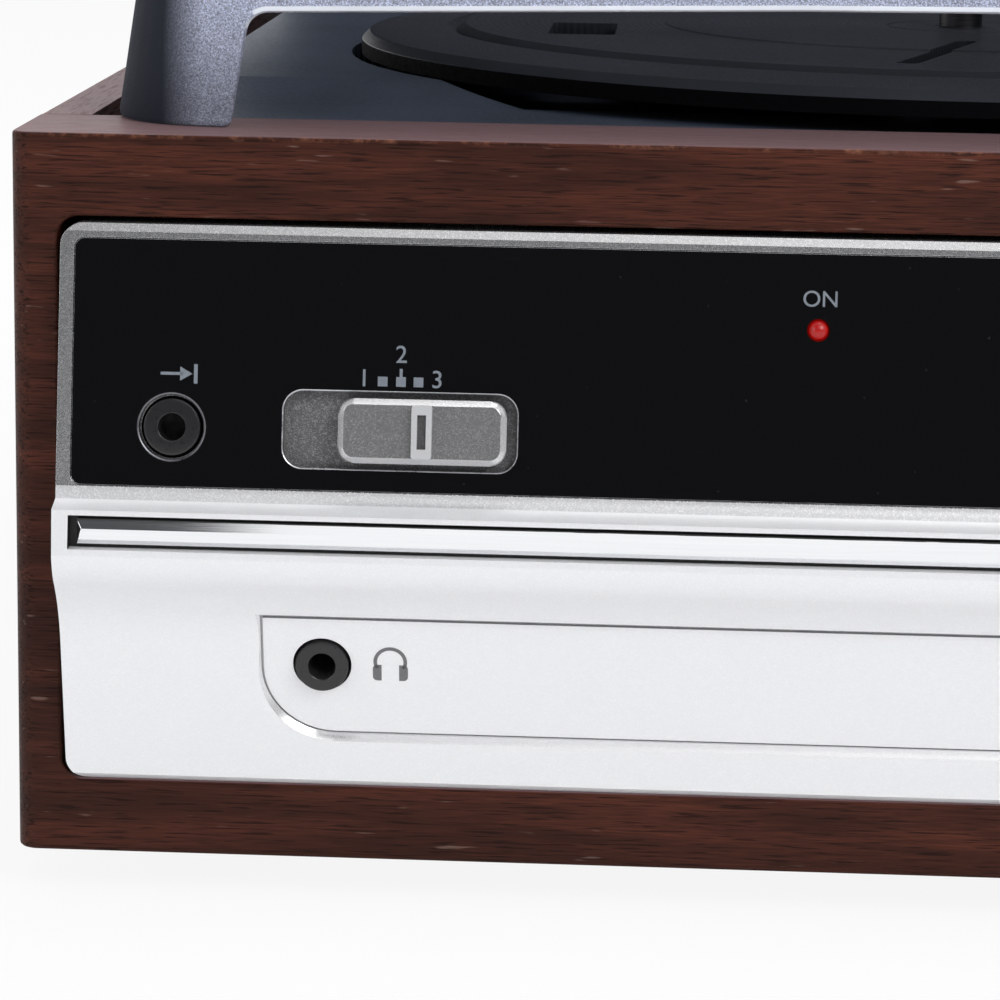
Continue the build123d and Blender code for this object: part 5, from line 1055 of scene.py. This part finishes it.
class MUSIC_OT_deck(Operator):
    """Make the record deck, the platter and what drives it"""

    bl_idname = "music_centre.deck"
    bl_label = "Deck and platter"

    def execute(self, context):
        look = context.scene.deck_finish
        plastic = moulded("deck plastic", look.deck, 0.5, 0.0006, 0.00005, 0.2)
        # Painted shade in the deck's hollows, and below in the platter's.
        shade_hollows(plastic, look.deck, 0.012)
        # Painted shade: the well round the platter in a darker copy of the deck plastic.
        well = moulded("well painted shade", darker(look.deck, 0.3), 0.7, Specular_IOR_Level=0.05)
        make_deck([plastic, well])
        charcoal = ringed("platter plastic", look.platter, 0.36, look.rings, PLATTER_CENTRE, RINGS_REACH)
        shade_hollows(charcoal, look.platter, 0.005)
        # Painted shade: the platter's side takes a near-black copy of its plastic.
        side = moulded("platter side painted shade", darker(look.platter, 0.1), 0.7, Specular_IOR_Level=0.05)
        make_platter([charcoal, side])
        steel = turned_metal("polished steel", (0.16, 0.16, 0.165), 0.34, (60, 60, 4000))
        nylon = moulded("nylon", (0.66, 0.65, 0.6), 0.42, 0.0008)
        softened("spindle", "record_spindle", "polished_steel", steel, angle=40)
        softened("adapter_45", "centre_adapter", "nylon", nylon, angle=40)
        brass = turned_metal("turned brass", (0.6, 0.42, 0.16), 0.3, (60, 60, 4000))
        dress(brass, "spindle_bearing", "motor_pulley")
        dress(nylon, "thrust_washer")
        dress(moulded("belt rubber", grey(0.008), 0.7, 0.0005), "drive_belt")
        dress(turned_metal("motor can", (0.48, 0.48, 0.47), 0.35, (60, 60, 2500)), "motor")
        return {"FINISHED"}


class MUSIC_OT_tonearm(Operator):
    """Make the tonearm, its rest and the deck's small controls"""

    bl_idname = "music_centre.tonearm"
    bl_label = "Tonearm"

    def execute(self, context):
        black = moulded("arm plastic", context.scene.deck_finish.arm, 0.38, 0.0007, vary=0.2)
        for node, name, body in (
            ("tonearm_base", "arm_base", "cabinet"), ("tonearm_yoke", "arm_yoke", "arm_turret"),
            ("tonearm", "arm_tube", "tonearm"), ("arm_rest", "arm_stand", "cabinet"),
            ("arm_clip", "arm_latch", "arm_clip"), ("cue_lever", "cue_handle", "cue_lever"),
            ("cue_lifter", "cue_rail", "cue_lifter"), ("speed_knob", "speed_selector", "speed_knob"),
            ("auto_stop_knob", "stop_slider", "auto_stop_knob"),
        ):
            softened(node, name, "arm_plastic", black, 0.00025, 38, body=body)
        dress(turned_metal("pin steel", grey(0.6), 0.2, (4000, 60, 60)), "lift_pin")
        gloss = moulded("cartridge plastic", (0.03, 0.03, 0.033), 0.2, 0.0009, 0.00001)
        softened("cartridge", "cartridge_body", "cartridge_plastic", gloss, 0.0003, 38, body="tonearm")
        red = moulded("stylus holder", (0.5, 0.02, 0.015), 0.25, 0.0009, 0.00001)
        softened("stylus", "stylus_holder", "stylus_red", red, 0.00015, 38, body="tonearm")
        return {"FINISHED"}


# ---- lid ----
def make_lid(smoke, rim):
    """The smoked lid: a shell whose lower edges and openings have a chamfer, with a painted highlight on its
    downward faces over the openings.
    """
    bm = merged_copy("lid")
    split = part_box("lid")[0].z + OPENING_TOP
    opening = []
    arrises = []
    for crease in edges_over(bm, 40):
        (opening if max(vert.co.z for vert in crease.verts) < split else arrises).append(crease)
    chamfers = soften(bm, opening, 0.0009)
    soften(bm, arrises, 0.0005)
    bm.normal_update()
    for face in chamfers:
        if face.is_valid and face.normal.z < -0.2 and face.calc_center_median().z > split - 0.015:
            face.material_index = 1
    finished(bm, "smoked_lid", "lid", "smoked_lid", smoke, rim, body="lid", sharp=30)


class MUSIC_OT_lid(Operator):
    """Make the smoked lid and its hinges"""

    bl_idname = "music_centre.lid"
    bl_label = "Lid"

    def execute(self, context):
        make_lid(smoked_plastic("smoked plastic"), painted_rim_highlight("rim painted highlight"))
        zinc = turned_metal("zinc plate", (0.5, 0.5, 0.51), 0.35, grey(500))
        softened("hinge_leaves", "lid_leaves", "hinge_metal", zinc, body="lid")
        softened("hinge_brackets", "lid_brackets", "hinge_metal", zinc)
        dress(turned_metal("hinge pin steel", grey(0.6), 0.2, (4000, 60, 60)), "hinge_pins")
        return {"FINISHED"}


# ---- speakers, sockets at the back, inside ----
class MUSIC_OT_inside(Operator):
    """Finish the speakers, the back's sockets and the parts inside"""

    bl_idname = "music_centre.inside"
    bl_label = "Speakers and inside"

    def execute(self, context):
        grille = moulded("grille black", (0.014, 0.014, 0.015), 0.5, 0.0007, 0.00004)
        softened("speaker_grilles", "grilles", "grille_black", grille)
        dress(fibre_board("speaker paper", grey(0.02)), "speakers")
        dress(turned_metal("transformer core", (0.25, 0.25, 0.26), 0.5, (3000, 60, 60)), "transformer")
        dress(fibre_board("main board", (0.16, 0.1, 0.04)), "main_board")
        dress(moulded("spacer nylon", (0.6, 0.6, 0.55), 0.45, 0.0008), "board_spacers")
        dress(fibre_board("ferrite", (0.03, 0.026, 0.024)), "ferrite_aerial")
        black = moulded("socket moulding", grey(0.012), 0.42, 0.0007)
        softened("mains_inlet", "mains_socket", "socket_black", black)
        plated = turned_metal("plated sockets", (0.62, 0.62, 0.63), 0.25, (60, 4000, 60))
        softened("line_out_sockets", "line_out_barrels", "jack_metal", plated)
        return {"FINISHED"}


# ---- stage ----
def seen(mat, gloss):
    """1 for the camera and through glass, and a given share in gloss."""
    path = add(mat, "LightPath").outputs
    direct = sums("MAXIMUM", path["Is Camera Ray"], path["Is Transmission Ray"])
    return sums("MAXIMUM", direct, sums("MULTIPLY", path["Is Glossy Ray"], gloss))


def blend(mat, share, under, over, output):
    """Lays one shader over another by a share, and joins them to the output node."""
    both = add(mat, "MixShader", {0: share, 1: under.outputs[0], 2: over.outputs[0]})
    join(both.outputs[0], mat.node_tree.nodes[output].inputs[0])


def make_world(strength, dim):
    """A white backdrop, which gloss shows too behind the object and above its right half."""
    world = bpy.data.worlds.new("room")
    world.use_nodes = True
    plain = world.node_tree.nodes["Background"]
    plain.inputs["Color"].default_value = (0.93, 0.96, 1.0, 1)
    white = add(world, "Background", {"Color": (1, 1, 1, 1)})
    x, y, z = axes(add(world, "TexCoord").outputs["Generated"])
    behind = spread(y, -0.2, -0.06, 0.0, 1.0)
    above = spread(z, 0.5, 0.56, 0.0, 1.0)
    right = spread(x, -0.13, -0.112, 0.0, 1.0)
    shown = sums("MAXIMUM", behind, sums("MULTIPLY", above, right))
    gloss = add(world, "LightPath").outputs["Is Glossy Ray"]
    join(spread(gloss, 0, 1, strength, dim), plain.inputs["Strength"])
    blend(world, seen(world, shown), plain, white, "World Output")
    bpy.context.scene.world = world


def pale_floor(colour):
    """A matt floor that the camera sees nearly white, with the object's shadow kept."""
    mat = start_material("pale floor", colour, 0.9)
    finish(mat, uneven(noise(placed(mat), 3, 2), colour, 0.99, 1.0))
    white = add(mat, "Emission", {"Color": (1, 1, 1, 1)})
    blend(mat, sums("MULTIPLY", seen(mat, 1.0), 0.9), shader_of(mat), white, "Material Output")
    return mat


def soft_lamp(name, place, size, power):
    lamp = bpy.data.lights.new(name, "AREA")
    lamp.shape = "RECTANGLE"
    lamp.size, lamp.size_y = size
    lamp.energy = power
    holder = new_object(name, lamp)
    holder.location = place
    holder.rotation_mode = "QUATERNION"
    holder.rotation_quaternion = (LAMP_AIM - Vector(place)).to_track_quat("-Z", "Y")


class MUSIC_OT_stage(Operator):
    """Make the floor, the lamps, the room's light and the camera"""

    bl_idname = "music_centre.stage"
    bl_label = "Stage"

    def execute(self, context):
        look = context.scene.studio_light
        bm = bmesh.new()
        bmesh.ops.create_grid(bm, x_segments=2, y_segments=2, size=3.0)
        mesh = bpy.data.meshes.new("floor")
        bm.to_mesh(mesh)
        bm.free()
        floor = new_object("floor", mesh)
        mesh.materials.append(pale_floor(look.floor))
        make_world(look.sky, look.dim)
        soft_lamp("front key", (1.0, -1.15, 1.15), (1.1, 0.9), look.key)
        soft_lamp("top light", (0.1, 0.35, 1.4), (1.0, 0.8), look.top)
        soft_lamp("side fill", (-1.3, -0.9, 0.6), (0.8, 0.8), look.fill)
        camera = bpy.data.cameras.new("camera")
        camera.sensor_width = 36.0
        camera.lens = CAMERA_LENS
        camera.clip_start = 0.01
        holder = new_object("camera", camera)
        holder.location = CAMERA_PLACE
        holder.rotation_euler = [radians(angle) for angle in CAMERA_TURN]
        context.scene.camera = holder
        context.scene.view_settings.view_transform = "Standard"
        return {"FINISHED"}


OPERATORS = (
    MUSIC_OT_stage, MUSIC_OT_cabinet, MUSIC_OT_fascia, MUSIC_OT_sockets, MUSIC_OT_slide_switches,
    MUSIC_OT_power_lamp, MUSIC_OT_dial_and_knobs, MUSIC_OT_marks, MUSIC_OT_deck, MUSIC_OT_tonearm,
    MUSIC_OT_lid, MUSIC_OT_inside,
)


class MUSIC_PT_panel(Panel):
    """Lists the settings and the pieces"""

    bl_idname = "MUSIC_PT_panel"
    bl_label = "Music centre"
    bl_space_type = "VIEW_3D"
    bl_region_type = "UI"
    bl_category = "Music centre"

    def draw(self, context):
        column = self.layout.column()
        for name, group in SETTINGS.items():
            box = column.box()
            for key in group.__annotations__:
                box.prop(getattr(context.scene, name), key)
        for operator in OPERATORS:
            column.operator(operator.bl_idname)


def register():
    for kind in (*SETTINGS.values(), *OPERATORS, MUSIC_PT_panel):
        bpy.utils.register_class(kind)
    for name, group in SETTINGS.items():
        setattr(bpy.types.Scene, name, PointerProperty(type=group))


def unregister():
    for name in SETTINGS:
        delattr(bpy.types.Scene, name)
    for kind in (MUSIC_PT_panel, *OPERATORS, *SETTINGS.values()):
        bpy.utils.unregister_class(kind)


def main():
    register()
    for operator in OPERATORS:
        group, name = operator.bl_idname.split(".")
        getattr(getattr(bpy.ops, group), name)()


if __name__ == "__main__":
    main()
